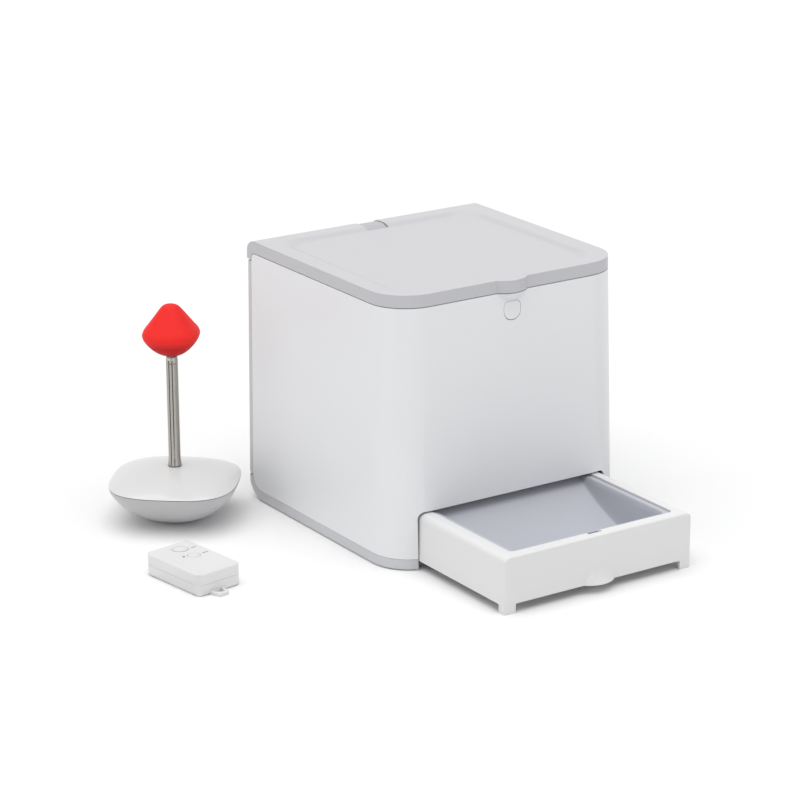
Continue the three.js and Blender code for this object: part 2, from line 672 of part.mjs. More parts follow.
function batteryDoorPart() {
  const plate = alongY(doorShape(0), rearY - wall, rearY);
  const gripZ = batteryDoor.top - batteryDoor.gripHeight * 2;
  const grip = box(-batteryDoor.gripHalf, batteryDoor.gripHalf, rearY - batteryDoor.grip, rearY + overrun,
    gripZ, gripZ + batteryDoor.gripHeight);
  const lipHalf = batteryDoor.halfX - batteryDoor.lip;
  const rib = box(-lipHalf, lipHalf, rearY - wall - batteryDoor.lipDepth, rearY - wall + weld,
    batteryDoor.bottom + batteryDoor.lip, batteryDoor.bottom + 2 * batteryDoor.lip);
  return join(cut(plate, grip), rib);
}
place(root, "battery_door", batteryDoorPart(), "greyTrim");

const displayPlate = outline(-display.halfX, display.halfX, display.bottom, display.top, display.radius);
place(root, "display_window", alongY(displayPlate, board.back + gap, rearY - gap), "windowBlack");

buttonPlaces.forEach((x, i) => {
  const cap = rodY(
    menuButton.radius, x, rearY - wall - menuButton.tail, rearY + menuButton.proud, menuButton.z,
  );
  const flangeRear = rearY - wall - gap;
  const flange = rodY(menuButton.flange, x, flangeRear - menuButton.flangeDepth, flangeRear, menuButton.z);
  place(root, `menu_button_${i + 1}`, join(cap, flange), "softRubber");
});

function powerSwitchPart() {
  const { x, z, halfX, halfZ, proud, plate, travel } = powerSwitch;
  const knob = box(x - halfX, x + halfX, rearY - wall - plate - gap, rearY + proud, z - halfZ, z + halfZ);
  const plateRear = rearY - wall - gap;
  const slider = box(x - halfX - travel, x + halfX + travel, plateRear - plate, plateRear,
    z - halfZ - plate, z + halfZ + plate);
  return join(knob, slider);
}
place(root, "power_switch", powerSwitchPart(), "darkPlastic");

const speakerRear = rearY - wall - gap;
const cone = rodY(
  speaker.radius / 2, speaker.x, speakerRear - speaker.depth / 2, speakerRear + weld, speaker.z,
);
const can = rodY(speaker.radius, speaker.x, speakerRear - speaker.depth, speakerRear, speaker.z);
place(root, "speaker", cut(can, cone), "darkPlastic");

const boardPlate = box(
  -board.halfX, board.halfX, board.back - board.thick, board.back, board.bottom, board.top,
);
place(root, "control_board", boardPlate, "boardGreen");

// Battery box with four large cells in two rows
const cell = { radius: 17.1, length: 61, half: 61.5, buttonRadius: 4.8, button: 1.2 };
const batteryBox = {
  wall: 2.2, y: 84.5, rowZ: [44, 80], shelfHalf: 58, footRear: 88, front: 64.5, rear: 106.8,
  halfInner: 63.4, room: 0.5,
};
batteryBox.bottom = batteryBox.rowZ[0] - cell.radius - batteryBox.room;
batteryBox.top = batteryBox.rowZ[1] + cell.radius + batteryBox.room;
const contact = { thick: 0.9, halfY: 9 };

function batteryBoxPart() {
  const { wall: skin, front, rear, bottom, top, halfInner } = batteryBox;
  const block = box(-halfInner - skin, halfInner + skin, front, rear, bottom - skin, top + skin);
  const inside = box(-halfInner, halfInner, front + skin, rear + overrun, bottom, top);
  const middle = (batteryBox.rowZ[0] + batteryBox.rowZ[1]) / 2;
  const shelf = box(
    -batteryBox.shelfHalf, batteryBox.shelfHalf, front + weld, batteryBox.y, middle - weld, middle + weld,
  );
  const hollow = cut(block, inside);
  const feet = [-1, 1].map((side) => {
    const x = side * (halfInner - cell.radius);
    return box(
      x - skin, x + skin, front + skin, batteryBox.footRear, base.floorTop + gap, bottom - skin + weld,
    );
  });
  return join(hollow, shelf, ...feet);
}
place(root, "battery_box", batteryBoxPart(), "darkPlastic");

let cellNumber = 0;
for (const z of batteryBox.rowZ) {
  for (const side of [-1, 1]) {
    cellNumber += 1;
    const start = side < 0 ? -cell.half : cell.half - cell.length;
    const sleeve = rodX(cell.radius, start + cell.button, start + cell.length, batteryBox.y, z, rodSides);
    const nub = rodX(cell.buttonRadius, start, start + cell.button + weld, batteryBox.y, z, pinSides);
    place(root, `battery_cell_${cellNumber}`, join(sleeve, nub), "cellJacket");
  }
}
[-1, 1].forEach((side) => {
  const near = cell.half + gap;
  const [a, b] = [side * near, side * (near + contact.thick)].sort((p, q) => p - q);
  const [low, high] = batteryBox.rowZ;
  const plate = box(a, b, batteryBox.y - contact.halfY, batteryBox.y + contact.halfY,
    low - contact.halfY, high + contact.halfY);
  place(root, side < 0 ? "contact_plate_left" : "contact_plate_right", plate, "steel");
});

// Hopper: tub, funnel and rim flange
function tubRing(z, inset, turn) {
  const { halfX, halfY, y, power, ringCount } = hopper;
  const roundRadius = rotor.outletRadius + hopper.wall;
  if (turn) return superRing(roundRadius - inset, roundRadius - inset, 2, 0, rotor.y, z, ringCount);
  return superRing(halfX - inset, halfY - inset, power, 0, y, z, ringCount);
}

function tubBody(inset, over) {
  return loft([
    tubRing(hopper.outletZ - over, inset, true),
    tubRing(hopper.outletZ, inset, true),
    tubRing(hopper.tubBottom, inset, false),
    tubRing(hopper.flangeTop - weld + over, inset, false),
  ].slice(over > 0 ? 0 : 1));
}

function hopperPart() {
  const flangeBottom = hopper.flangeTop - hopper.flangeDepth;
  const block = formBlock(hopper.flangeInset, flangeBottom, hopper.flangeTop);
  const keep = box(-halfWidth, halfWidth, frontY - overrun, hopper.flangeRear, 0, height);
  const room = box(-latch.roomHalf, latch.roomHalf, frontY - overrun, latch.roomRear, 0, height);
  const flange = cut(common(block, keep), room);
  return cut(join(flange, tubBody(0, 0)), tubBody(hopper.wall, overrun));
}
place(root, "hopper", hopperPart(), "bowlGrey");

// Rotor pan, rotor and drive under the hopper
const pan = { bottom: 80, floor: 3, top: hopper.outletZ - gap, dropRadius: 14, dropReach: 46 };
const pocket = { count: 6, radius: 13 };
const shaft = { radius: 4, bottom: 64.6, top: 112, hole: 4.3 };
const disc = { bottom: pan.bottom + pan.floor + runGap, thick: 12 };
const stir = { hub: 6.5, top: 114, armRadius: 2, armZ: 106, armReach: 48, cap: 2 };
const guard = { halfX: 19, front: -62, back: -24, bottom: 96.4, thick: 2.2 };

const dropY = rotor.y - pan.dropReach;
function panPart() {
  const can = rodZ(rotor.panRadius, 0, rotor.y, pan.bottom, pan.top, fineSides);
  const inside = rodZ(rotor.panInner, 0, rotor.y, pan.bottom + pan.floor, height, fineSides);
  const drop = rodZ(pan.dropRadius, 0, dropY, 0, height, rodSides);
  const bearing = rodZ(shaft.hole + gap, 0, rotor.y, 0, height, rodSides);
  return cut(can, inside, drop, bearing);
}
place(root, "rotor_pan", panPart(), "innerPlastic");

function dispensingDisc() {
  const plate = rodZ(rotor.radius, 0, rotor.y, disc.bottom, disc.bottom + disc.thick, fineSides);
  const holes = [];
  for (let i = 0; i < pocket.count; i += 1) {
    const turn = (2 * Math.PI * i) / pocket.count - quarter;
    const [x, y] = [pan.dropReach * Math.cos(turn), rotor.y + pan.dropReach * Math.sin(turn)];
    holes.push(rodZ(pocket.radius, x, y, 0, height, rodSides));
  }
  return cut(plate, ...holes, rodZ(shaft.hole, 0, rotor.y, 0, height, rodSides));
}
place(root, "dispensing_disc", dispensingDisc(), "gearPlastic");

function stirrerPart() {
  const bottom = disc.bottom + disc.thick + gap;
  const hub = rodZ(stir.hub, 0, rotor.y, bottom, stir.top);
  const bore = rodZ(shaft.hole, 0, rotor.y, 0, stir.top - stir.cap);
  const arm = rodX(stir.armRadius, -stir.armReach, stir.armReach, rotor.y, stir.armZ);
  const middle = rodZ(
    stir.hub - weld, 0, rotor.y, stir.armZ - 2 * stir.armRadius, stir.armZ + 2 * stir.armRadius,
  );
  return cut(join(hub, arm, middle), bore);
}
place(root, "stirrer", stirrerPart(), "gearPlastic");
place(root, "drive_shaft", rodZ(shaft.radius, 0, rotor.y, shaft.bottom, shaft.top - gap), "steel");

const guardBox = box(-guard.halfX, guard.halfX, rotor.y + guard.front, rotor.y + guard.back, guard.bottom,
  guard.bottom + guard.thick);
const guardPart = common(guardBox, rodZ(rotor.panInner - gap, 0, rotor.y, 0, height, fineSides));
place(root, "drop_guard", guardPart, "innerPlastic");

// Involute gears between the motor and the rotor
const gear = {
  module: 1.5, teeth: 36, pinionTeeth: 14, pressure: (25 * Math.PI) / 180, backlash: 0.28, addendum: 0.85,
  dedendum: 1.25, bottom: 71, thick: 7,
};
gear.centre = (gear.module * (gear.teeth + gear.pinionTeeth)) / 2;

function gearShape(teeth, phase) {
  const pitch = (gear.module * teeth) / 2;
  const baseRadius = pitch * Math.cos(gear.pressure);
  const outer = pitch + gear.module * gear.addendum;
  const rootRadius = pitch - gear.module * gear.dedendum;
  const involute = (r) => {
    const angle = Math.acos(Math.min(1, baseRadius / r));
    return Math.tan(angle) - angle;
  };
  const halfTooth = Math.PI / (2 * teeth) - gear.backlash / (2 * pitch);
  const start = Math.max(baseRadius, rootRadius);
  const radii = [start, pitch, outer];
  const points = [];
  for (let i = 0; i < teeth; i += 1) {
    const middle = phase + (2 * Math.PI * i) / teeth;
    const flank = radii.map((r) => [r, halfTooth + involute(pitch) - involute(r)]);
    const rootHalf = flank[0][1];
    const rising = [[rootRadius, rootHalf], ...flank].map(
      ([r, a]) => [r * Math.cos(middle - a), r * Math.sin(middle - a)],
    );
    const falling = [...flank.reverse(), [rootRadius, rootHalf]].map(([r, a]) => [
      r * Math.cos(middle + a),
      r * Math.sin(middle + a),
    ]);
    points.push(...rising, ...falling);
  }
  return polygon(points);
}

function gearPart(teeth, phase, x, y, bore) {
  const body = solid(extrude(gearShape(teeth, phase), gear.thick).translate(x, y, gear.bottom));
  return cut(body, rodZ(bore, x, y, 0, height, rodSides));
}
const motor = {
  y: rotor.y + gear.centre, shaft: 2.5, bore: 2.8, halfX: 15, front: 13, rear: 25, bottom: 49.5,
};
place(root, "drive_gear", gearPart(gear.teeth, quarter, 0, rotor.y, shaft.hole), "gearPlastic");
const pinionPhase = -quarter + Math.PI / gear.pinionTeeth;
place(root, "motor_pinion", gearPart(gear.pinionTeeth, pinionPhase, 0, motor.y, motor.bore), "gearPlastic");

const gearPlate = {
  top: 67.4, thick: 3, halfX: 45, front: -45, rear: 46, radius: 8, postX: 40, postRadius: 3.5,
};
gearPlate.postY = [gearPlate.front + 5, gearPlate.rear - 5];

function gearboxPlate() {
  const plan = outline(
    -gearPlate.halfX, gearPlate.halfX, gearPlate.front, gearPlate.rear, gearPlate.radius,
  );
  const plate = prism(plan, gearPlate.top - gearPlate.thick, gearPlate.top);
  const posts = [];
  for (const side of [-1, 1]) {
    for (const y of gearPlate.postY) {
      posts.push(
        rodZ(
          gearPlate.postRadius, side * gearPlate.postX, y, gearPlate.top - weld, pan.bottom - gap, pinSides,
        ),
      );
    }
  }
  const bearing = rodZ(shaft.hole, 0, rotor.y, 0, height);
  const motorHole = rodZ(motor.shaft + gap, 0, motor.y, 0, height);
  return cut(join(plate, ...posts), bearing, motorHole);
}
place(root, "gearbox_plate", gearboxPlate(), "innerPlastic");

const motorTop = gearPlate.top - gearPlate.thick - gap;
const motorBody = box(
  -motor.halfX, motor.halfX, motor.y - motor.front, motor.y + motor.rear, motor.bottom, motorTop,
);
const motorShaft = rodZ(motor.shaft, 0, motor.y, motorTop - weld, gear.bottom + gear.thick, pinSides);
place(root, "gear_motor", join(motorBody, motorShaft), "steel");

// The chute leans forward, so that the treats slide towards the bowl's scoop
const chute = { outer: 16.4, inner: 14.6, bottom: 51, bend: 74, forward: 22, ringCount: 32 };

function chuteBody(radius, over) {
  const top = pan.bottom - gap;
  const ring = (y, z) => superRing(radius, radius, 2, 0, y, z, chute.ringCount);
  const slope = chute.forward / (chute.bend - chute.bottom);
  const low = chute.bottom - over;
  return loft(
    [ring(dropY - (chute.bend - low) * slope, low), ring(dropY, chute.bend), ring(dropY, top + over)],
  );
}
const chutePart = cut(chuteBody(chute.outer, 0), chuteBody(chute.inner, overrun));
place(root, "drop_chute", chutePart, "innerPlastic");

// Treat tray, shown pulled out
const tray = {
  bottom: 7.6, top: 46.1, bottomHalf: trayHalf,
  ...lessThan(trayHalf, { topHalf: 1.2, cavityHalf: 12.4, footInner: 11.3, footOuter: 0.7 }),
  front: -222.8, length: 150, cornerRadius: 3.5, topRadius: 6, frontEdge: 1.8, floor: 2.2,
  cavityFront: -213.8, ledgeDrop: 3.7, ledge: 2.5, footDepth: 7.5, footWall: 2.6, skin: 2.4,
  notchHalf: 6.4, notchDepth: 2.8, notchDrop: 9, pullHalf: 14.6, pullReach: 6, pullTop: 24, rearWall: 3,
};
tray.rear = tray.front + tray.length;
tray.ledgeHalf = tray.cavityHalf - tray.ledge;
const pullRadius = (tray.pullHalf ** 2 + tray.pullReach ** 2) / (2 * tray.pullReach);
const pullY = tray.front - tray.pullReach + pullRadius;

function trayPart() {
  const { bottom, top, bottomHalf, topHalf, topRadius } = tray;
  const cross = new THREE.Shape();
  cross.moveTo(-bottomHalf, bottom);
  cross.lineTo(bottomHalf, bottom);
  cross.lineTo(topHalf, top - topRadius);
  arc(cross, topHalf - topRadius, top - topRadius, topRadius, 0, quarter);
  cross.lineTo(-topHalf + topRadius, top);
  arc(cross, -topHalf + topRadius, top - topRadius, topRadius, quarter, 2 * quarter);
  const edge = tray.frontEdge;
  const side = new THREE.Shape();
  side.moveTo(tray.front, bottom);
  side.lineTo(tray.rear, bottom);
  side.lineTo(tray.rear, top);
  side.lineTo(tray.front + edge, top);
  arc(side, tray.front + edge, top - edge, edge, quarter, 2 * quarter);
  const plan = outline(-bottomHalf, bottomHalf, tray.front, tray.rear, tray.cornerRadius);
  const block = common(
    alongY(cross, tray.front, tray.rear),
    alongX(side, -bottomHalf, bottomHalf),
    prism(plan, 0, height),
  );
  const rearInner = tray.rear - tray.rearWall;
  const ledgeZ = top - tray.ledgeDrop;
  const wide = prism(
    outline(-tray.cavityHalf, tray.cavityHalf, tray.cavityFront, rearInner, tray.cornerRadius), ledgeZ,
    height,
  );
  const deepFront = tray.cavityFront + tray.ledge;
  const deep = prism(outline(
    -tray.ledgeHalf, tray.ledgeHalf, deepFront, rearInner - tray.ledge, tray.cornerRadius,
  ),
    bottom + tray.floor, height);
  const channelTop = ledgeZ - tray.ledge;
  const channels = [-1, 1].map((hand) => {
    const [a, b] = [
      hand * (tray.ledgeHalf + tray.skin), hand * (topHalf - tray.skin),
    ].sort((p, q) => p - q);
    return box(a, b, tray.front + tray.footDepth + tray.skin, tray.rear - tray.skin, 0, channelTop);
  });
  const frontChannel = box(
    -tray.ledgeHalf, tray.ledgeHalf, tray.front + tray.skin, deepFront - tray.skin, 0, channelTop,
  );
  const notchFront = tray.cavityFront - tray.notchDepth;
  const notch = box(-tray.notchHalf, tray.notchHalf, notchFront, deepFront, top - tray.notchDrop, height);
  const feet = [-1, 1].map((hand) => {
    const span = (inner, outer) => [hand * inner, hand * outer].sort((p, q) => p - q);
    const face = box(
      ...span(tray.footInner, tray.footOuter), tray.front, tray.front + tray.footWall, 0, bottom + weld,
    );
    const side = box(...span(
      tray.footOuter - tray.footWall, tray.footOuter,
    ), tray.front, tray.front + tray.footDepth,
      0, bottom + weld);
    return common(join(face, side), prism(plan, 0, height));
  });
  const pull = common(
    rodZ(pullRadius, 0, pullY, bottom, tray.pullTop, fineSides, pullRadius - tray.pullReach),
    box(-halfWidth, halfWidth, tray.front - overrun, tray.front + edge, 0, height),
  );
  return join(cut(block, wide, deep, ...channels, frontChannel, notch), ...feet, pull);
}
place(root, "treat_tray", trayPart(), "trayWhite");

// Lift-out bowl: a rim and a scoop whose floor rises to the rear
const bowl = {
  rimDrop: 1.5, rim: 1.8, skin: 1.8, ...lessThan(tray.cavityHalf, { openHalf: 5.5, floorHalf: 15.9 }),
  rimCorner: 4,
};

function bowlCross(grow) {
  const top = tray.top - bowl.rimDrop;
  const bottom = tray.bottom + tray.floor + gap;
  return polygon([
    [-bowl.floorHalf - grow, bottom - (grow ? 0 : -bowl.skin)],
    [bowl.floorHalf + grow, bottom - (grow ? 0 : -bowl.skin)],
    [bowl.openHalf + grow, top + (grow ? 0 : overrun)],
    [-bowl.openHalf - grow, top + (grow ? 0 : overrun)],
  ]);
}

const scoop = {
  frontTop: 13.6, frontFoot: 19.6, floorStart: 27, floorRise: 2.5, middle: 82, middleRise: 9, rear: 125,
};

function scoopSide(grow) {
  const top = tray.top - bowl.rimDrop;
  const low = tray.bottom + tray.floor + gap + bowl.skin;
  const lip = grow ? top - gap : top + overrun;
  const shape = new THREE.Shape();
  shape.moveTo(tray.front + scoop.frontTop - grow, lip);
  shape.lineTo(tray.front + scoop.frontFoot - grow, low + scoop.floorRise * 2 - grow);
  shape.quadraticCurveTo(
    tray.front + scoop.frontFoot + scoop.floorRise - grow, low + scoop.floorRise - grow,
    tray.front + scoop.floorStart, low + scoop.floorRise - grow,
  );
  shape.quadraticCurveTo(
    tray.front + scoop.middle, low + scoop.middleRise - grow,
    tray.front + scoop.rear + grow, top - (grow ? gap : 0),
  );
  if (!grow) shape.lineTo(tray.front + scoop.rear, lip);
  return shape;
}

function bowlPart() {
  const top = tray.top - bowl.rimDrop;
  const half = tray.cavityHalf - gap;
  const rearInner = tray.rear - tray.rearWall - gap;
  const rimPlan = outline(-half, half, tray.cavityFront + gap, rearInner, bowl.rimCorner);
  const rim = prism(rimPlan, top - bowl.rim, top);
  const outer = common(
    alongY(bowlCross(bowl.skin), tray.front, tray.rear), alongX(scoopSide(bowl.skin), -half, half),
  );
  const inner = common(alongY(bowlCross(0), tray.front, tray.rear), alongX(scoopSide(0), -half, half));
  const fingerHalf = tray.notchHalf - gap;
  const lipFront = tray.front + scoop.frontTop - bowl.skin;
  const finger = box(-fingerHalf, fingerHalf, tray.cavityFront, lipFront - gap, top - overrun, height);
  return cut(join(rim, outer), inner, finger);
}
place(root, "treat_bowl", bowlPart(), "bowlGrey");

// Rails that guide the tray's sides and carry its rear
const rail = {
  inner: trayHalf + runGap, thick: 2.4, top: 30, ...lessThan(trayHalf, { ledgeInner: 10.3 }), front: -101,
  rear: 46,
};
[-1, 1].forEach((hand) => {
  const span = (a, b) => [hand * a, hand * b].sort((p, q) => p - q);
  const outer = rail.inner + rail.thick;
  const bottom = base.floorTop + gap;
  const guide = box(...span(rail.inner, outer), rail.front, rail.rear, bottom, rail.top);
  const ledge = box(...span(rail.ledgeInner, outer), rail.front, rail.rear, bottom, tray.bottom - gap);
  place(root, hand < 0 ? "tray_rail_left" : "tray_rail_right", join(guide, ledge), "innerPlastic");
});

// Hand remote, built at its own centre
const remote = {
  halfX: 21.2, halfY: 33.8, height: 18.3, corner: 6, edge: 2, split: 9, wall: 1.6, x: -246.3, y: -26.7,
  yaw: 8.5, loopBase: 6.6, loopTip: 4.6, loopReach: 9.5, loopThick: 3, loopBar: 2, loopX: -4,
};
const ringButton = {
  x: 3.4, y: 20.7, radius: 6.4, proud: 0.5, dish: 0.9, rimWidth: 1.4, flange: 7.6, press: 0.8,
};
const smallButton = { x: 3.2, y: 3, radius: 5.2, proud: 0.1, flange: 6.2 };
const remoteLamp = { x: -4.6, y: 5.6, radius: 0.9 };
const remoteBoard = { top: 11.6, thick: 1.2 };
const coin = { radius: 10, thick: 3.2, y: -4, doorRadius: 11.6, doorThick: 1.4 };
const remoteGroup = new THREE.Group();
remoteGroup.position.set(remote.x, remote.y, 0);
remoteGroup.rotation.z = (remote.yaw * Math.PI) / 180;
root.add(remoteGroup);

function roundedBar(half, radius) {
  const top = remote.height;
  const shape = new THREE.Shape();
  shape.moveTo(-half + radius, 0);
  shape.lineTo(half - radius, 0);
  arc(shape, half - radius, radius, radius, -quarter, 0);
  shape.lineTo(half, top - radius);
  arc(shape, half - radius, top - radius, radius, 0, quarter);
  shape.lineTo(-half + radius, top);
  arc(shape, -half + radius, top - radius, radius, quarter, 2 * quarter);
  shape.lineTo(-half, radius);
  arc(shape, -half + radius, radius, radius, 2 * quarter, 3 * quarter);
  return shape;
}

function remoteBlock() {
  const { halfX, halfY, corner, edge } = remote;
  return common(
    prism(outline(-halfX, halfX, -halfY, halfY, corner), 0, remote.height),
    alongX(roundedBar(halfY, edge), -halfX, halfX),
    alongY(roundedBar(halfX, edge), -halfY, halfY),
  );
}

function remoteInside(z0, z1) {
  const { halfX, halfY, corner, wall: skin } = remote;
  return prism(outline(-halfX + skin, halfX - skin, -halfY + skin, halfY - skin, corner - skin), z0, z1);
}

const remoteTopInner = remote.height - remote.wall;
function remoteTop() {
  const upper = common(
    remoteBlock(), box(-halfWidth, halfWidth, -halfWidth, halfWidth, remote.split + gap, height),
  );
  const ringHole = rodZ(ringButton.radius + gap, ringButton.x, ringButton.y, 0, height);
  const smallHole = rodZ(smallButton.radius + gap, smallButton.x, smallButton.y, 0, height);
  const lampHole = rodZ(remoteLamp.radius + gap, remoteLamp.x, remoteLamp.y, 0, height, pinSides);
  return cut(upper, remoteInside(0, remoteTopInner), ringHole, smallHole, lampHole);
}
place(remoteGroup, "remote_top_case", remoteTop(), "trayWhite");

function remoteBottom() {
  const lower = common(remoteBlock(), box(-halfWidth, halfWidth, -halfWidth, halfWidth, 0, remote.split));
  const doorHole = rodZ(coin.doorRadius + gap, 0, coin.y, -overrun, height, fineSides);
  const seat = rodZ(coin.radius + 2 * gap, 0, coin.y, 0, remote.split, fineSides);
  const { loopBase, loopTip, loopReach, loopThick, loopBar, loopX, halfY } = remote;
  const loopOut = polygon([
    [loopX - loopBase, -halfY + weld],
    [loopX - loopTip, -halfY - loopReach],
    [loopX + loopTip, -halfY - loopReach],
    [loopX + loopBase, -halfY + weld],
  ]);
  const loopIn = polygon([
    [loopX - loopBase + loopBar, -halfY - gap],
    [loopX - loopTip + loopBar, -halfY - loopReach + loopBar],
    [loopX + loopTip - loopBar, -halfY - loopReach + loopBar],
    [loopX + loopBase - loopBar, -halfY - gap],
  ]);
  const loop = cut(prism(loopOut, 0, loopThick), prism(loopIn, -overrun, height));
  return join(cut(lower, remoteInside(remote.wall, height), doorHole, seat), loop);
}
place(remoteGroup, "remote_bottom_case", remoteBottom(), "trayWhite");

function remoteButton(button, dish) {
  const top = remote.height + button.proud;
  const stemBottom = remoteBoard.top + gap + ringButton.press;
  const stem = rodZ(button.radius, button.x, button.y, stemBottom, top);
  const flangeTop = remoteTopInner - gap;
  const flange = rodZ(button.flange, button.x, button.y, flangeTop - remote.wall, flangeTop);
  const hollow = rodZ(button.radius - ringButton.rimWidth, button.x, button.y, top - dish, top + overrun);
  return cut(join(stem, flange), hollow);
}
place(remoteGroup, "remote_treat_button", remoteButton(ringButton, ringButton.dish), "trayWhite");
place(remoteGroup, "remote_tone_button", remoteButton(smallButton, gap), "trayWhite");
const boardX = remote.halfX - remote.wall - runGap;
const boardY = remote.halfY - remote.wall - runGap;
const boardPlan = outline(-boardX, boardX, -boardY, boardY, remote.corner - remote.wall);
const boardSheet = prism(boardPlan, remoteBoard.top - remoteBoard.thick, remoteBoard.top);
const lamp = rodZ(
  remoteLamp.radius, remoteLamp.x, remoteLamp.y, remoteBoard.top - weld, remote.height, pinSides,
);
place(remoteGroup, "remote_board", join(boardSheet, lamp), "boardGreen");
const coinBottom = coin.doorThick + 2 * gap;
place(
  remoteGroup, "remote_coin_cell",
  rodZ(coin.radius, 0, coin.y, coinBottom, coinBottom + coin.thick, fineSides), "steel",
);
place(
  remoteGroup, "remote_cell_door", rodZ(coin.doorRadius, 0, coin.y, gap, gap + coin.doorThick, fineSides),
  "trayWhite",
);

// Target wand, built on its own upright axis
const wand = {
  x: -189.5, y: 101, yaw: -39.8, half: 52.4, rim: 32.7, flat: 11, swell: 1.52, dome: 12, wall: 2.2,
  ringCount: 36, rimPower: 3, flatPower: 2, split: 0.3,
};
const wandGroup = new THREE.Group();
wandGroup.position.set(wand.x, wand.y, 0);
wandGroup.rotation.z = (wand.yaw * Math.PI) / 180;
root.add(wandGroup);

// The underside swells from a small flat foot to the rim
const underShares = [0, 0.03, 0.1, 0.22, 0.4, 0.65, 1];
function wandUnder(inset, over) {
  const { half, rim, flat, swell, flatPower, rimPower, ringCount } = wand;
  const rings = underShares.map((share) => {
    const wide = flat + (half - flat) * (1 - (1 - share) ** swell) ** (1 / swell) - inset * share;
    const power = flatPower + (rimPower - flatPower) * Math.sqrt(share);
    return superRing(wide, wide, power, 0, 0, inset + (rim - inset) * share, ringCount);
  });
  if (over > 0) rings.push(superRing(half - inset, half - inset, rimPower, 0, 0, rim + over, ringCount));
  return loft(rings);
}

const domeShares = [1, 0.97, 0.88, 0.74, 0.56, 0.36, 0.14];
function wandDome(inset, floor) {
  const rings = [
    superRing(wand.half - inset, wand.half - inset, wand.rimPower, 0, 0, floor, wand.ringCount),
  ];
  for (const share of domeShares) {
    const half = (wand.half - inset) * share;
    const z = wand.rim + wand.split + wand.dome * (1 - share ** 2) - inset;
    const power = 2 + (wand.rimPower - 2) * share;
    rings.push(superRing(half, half, power, 0, 0, Math.max(z, floor + gap), wand.ringCount));
  }
  return loft(rings);
}

const tube = {
  outer: 4.9, wall: 0.6, foot: 5.6, footTop: 53, top: 138.4, socketBottom: 16, slip: 0.25, collar: 1.2,
};
const domeTop = wand.rim + wand.split + wand.dome;
const weight = { foot: 12, top: 15, radius: 33 };
const socket = { radius: 8, bottom: 16 };

function wandBaseTop() {
  const shellBody = cut(wandDome(0, wand.rim + wand.split), wandDome(wand.wall, wand.rim - overrun));
  const post = rodZ(socket.radius, 0, 0, socket.bottom, domeTop - wand.wall, rodSides);
  return cut(join(shellBody, post), rodZ(tube.outer + gap, 0, 0, 0, height, rodSides));
}
place(wandGroup, "wand_base_top", wandBaseTop(), "trayWhite");

const wandBottom = cut(wandUnder(0, 0), wandUnder(wand.wall, overrun));
place(wandGroup, "wand_base_bottom", wandBottom, "greyTrim");
const weightBottom = wand.wall + gap;
place(
  wandGroup, "wand_weight", rodZ(weight.foot, 0, 0, weightBottom, weight.top, rodSides, weight.radius),
  "steel",
);

function tubePiece(outer, inner, z0, z1, extra) {
  const profile = [
    [inner, z0],
    [outer, z0],
    ...extra,
    [outer, z1 - gap],
    [outer - gap, z1],
    [inner, z1],
    [inner, z0],
  ];
  return lathe(profile, 0, 0, rodSides);
}
const middleOuter = tube.outer - tube.wall - tube.slip;
const innerOuter = middleOuter - tube.wall - tube.slip;
const footRise = domeTop + gap;
const outerTube = tubePiece(tube.outer, tube.outer - tube.wall, tube.socketBottom, tube.top, [
  [tube.outer, footRise],
  [tube.foot, footRise],
  [tube.foot, footRise + tube.collar],
  [tube.outer, tube.footTop],
]);
place(wandGroup, "wand_outer_tube", outerTube, "steel");
const middleTube = tubePiece(
  middleOuter, middleOuter - tube.wall, tube.socketBottom + gap, tube.top + gap, [],
);
place(wandGroup, "wand_middle_tube", middleTube, "steel");

// Soft tip: a rounded square bulb, widest a third of the way up
const tip = { bottom: 139.5, corePower: 2.6, ringCount: 32, boreRise: 14 };
const tipHeights = [0, 1.2, 5.6, 11, 15.5, 18.6, 21.5, 27, 33.2, 38.5, 41.4, 42.4];
const tipHalves = [3.6, 7.8, 14.5, 19.6, 22.3, 22.8, 21.3, 17, 12.7, 9, 6.4, 3.6];
const tipRings = tipHeights.map((rise, i) => {
  const half = tipHalves[i];
  return superRing(half, half, tip.corePower, 0, 0, tip.bottom + rise, tip.ringCount);
});
const rodTop = tip.bottom + tip.boreRise;
const tipBody = cut(loft(tipRings), rodZ(innerOuter + gap, 0, 0, 0, rodTop + gap, rodSides));
place(wandGroup, "wand_tip", tipBody, "redSilicone");
place(
  wandGroup, "wand_inner_rod", rodZ(innerOuter, 0, 0, tube.socketBottom + 2 * gap, rodTop, rodSides),
  "steel",
);

export default root;
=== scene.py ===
"""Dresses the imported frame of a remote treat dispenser, its hand remote and its target wand."""

import math

import bmesh
import bpy
from mathutils import Matrix, Vector


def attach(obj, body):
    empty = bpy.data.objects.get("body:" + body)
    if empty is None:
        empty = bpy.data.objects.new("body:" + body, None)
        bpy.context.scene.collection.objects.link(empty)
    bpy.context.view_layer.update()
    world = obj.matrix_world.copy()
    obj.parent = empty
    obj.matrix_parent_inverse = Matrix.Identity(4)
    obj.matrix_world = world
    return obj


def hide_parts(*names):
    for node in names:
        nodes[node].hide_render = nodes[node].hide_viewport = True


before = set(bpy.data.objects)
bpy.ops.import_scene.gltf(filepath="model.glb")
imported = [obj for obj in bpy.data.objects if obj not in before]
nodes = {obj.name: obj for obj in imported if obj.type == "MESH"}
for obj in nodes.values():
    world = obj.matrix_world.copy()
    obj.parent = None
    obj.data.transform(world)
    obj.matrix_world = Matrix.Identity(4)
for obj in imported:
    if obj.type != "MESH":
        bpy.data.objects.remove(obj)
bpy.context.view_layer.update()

MM = 0.001

# Camera at the photograph's angle
CAMERA_PLACE = (-1.278067, -1.875228, 0.845391)
CAMERA_TURN = -33.53
CAMERA_DOWN = 18.33
CAMERA_ROLL = -0.1985
CAMERA_LENS = 131.355
SENSOR_WIDTH = 36

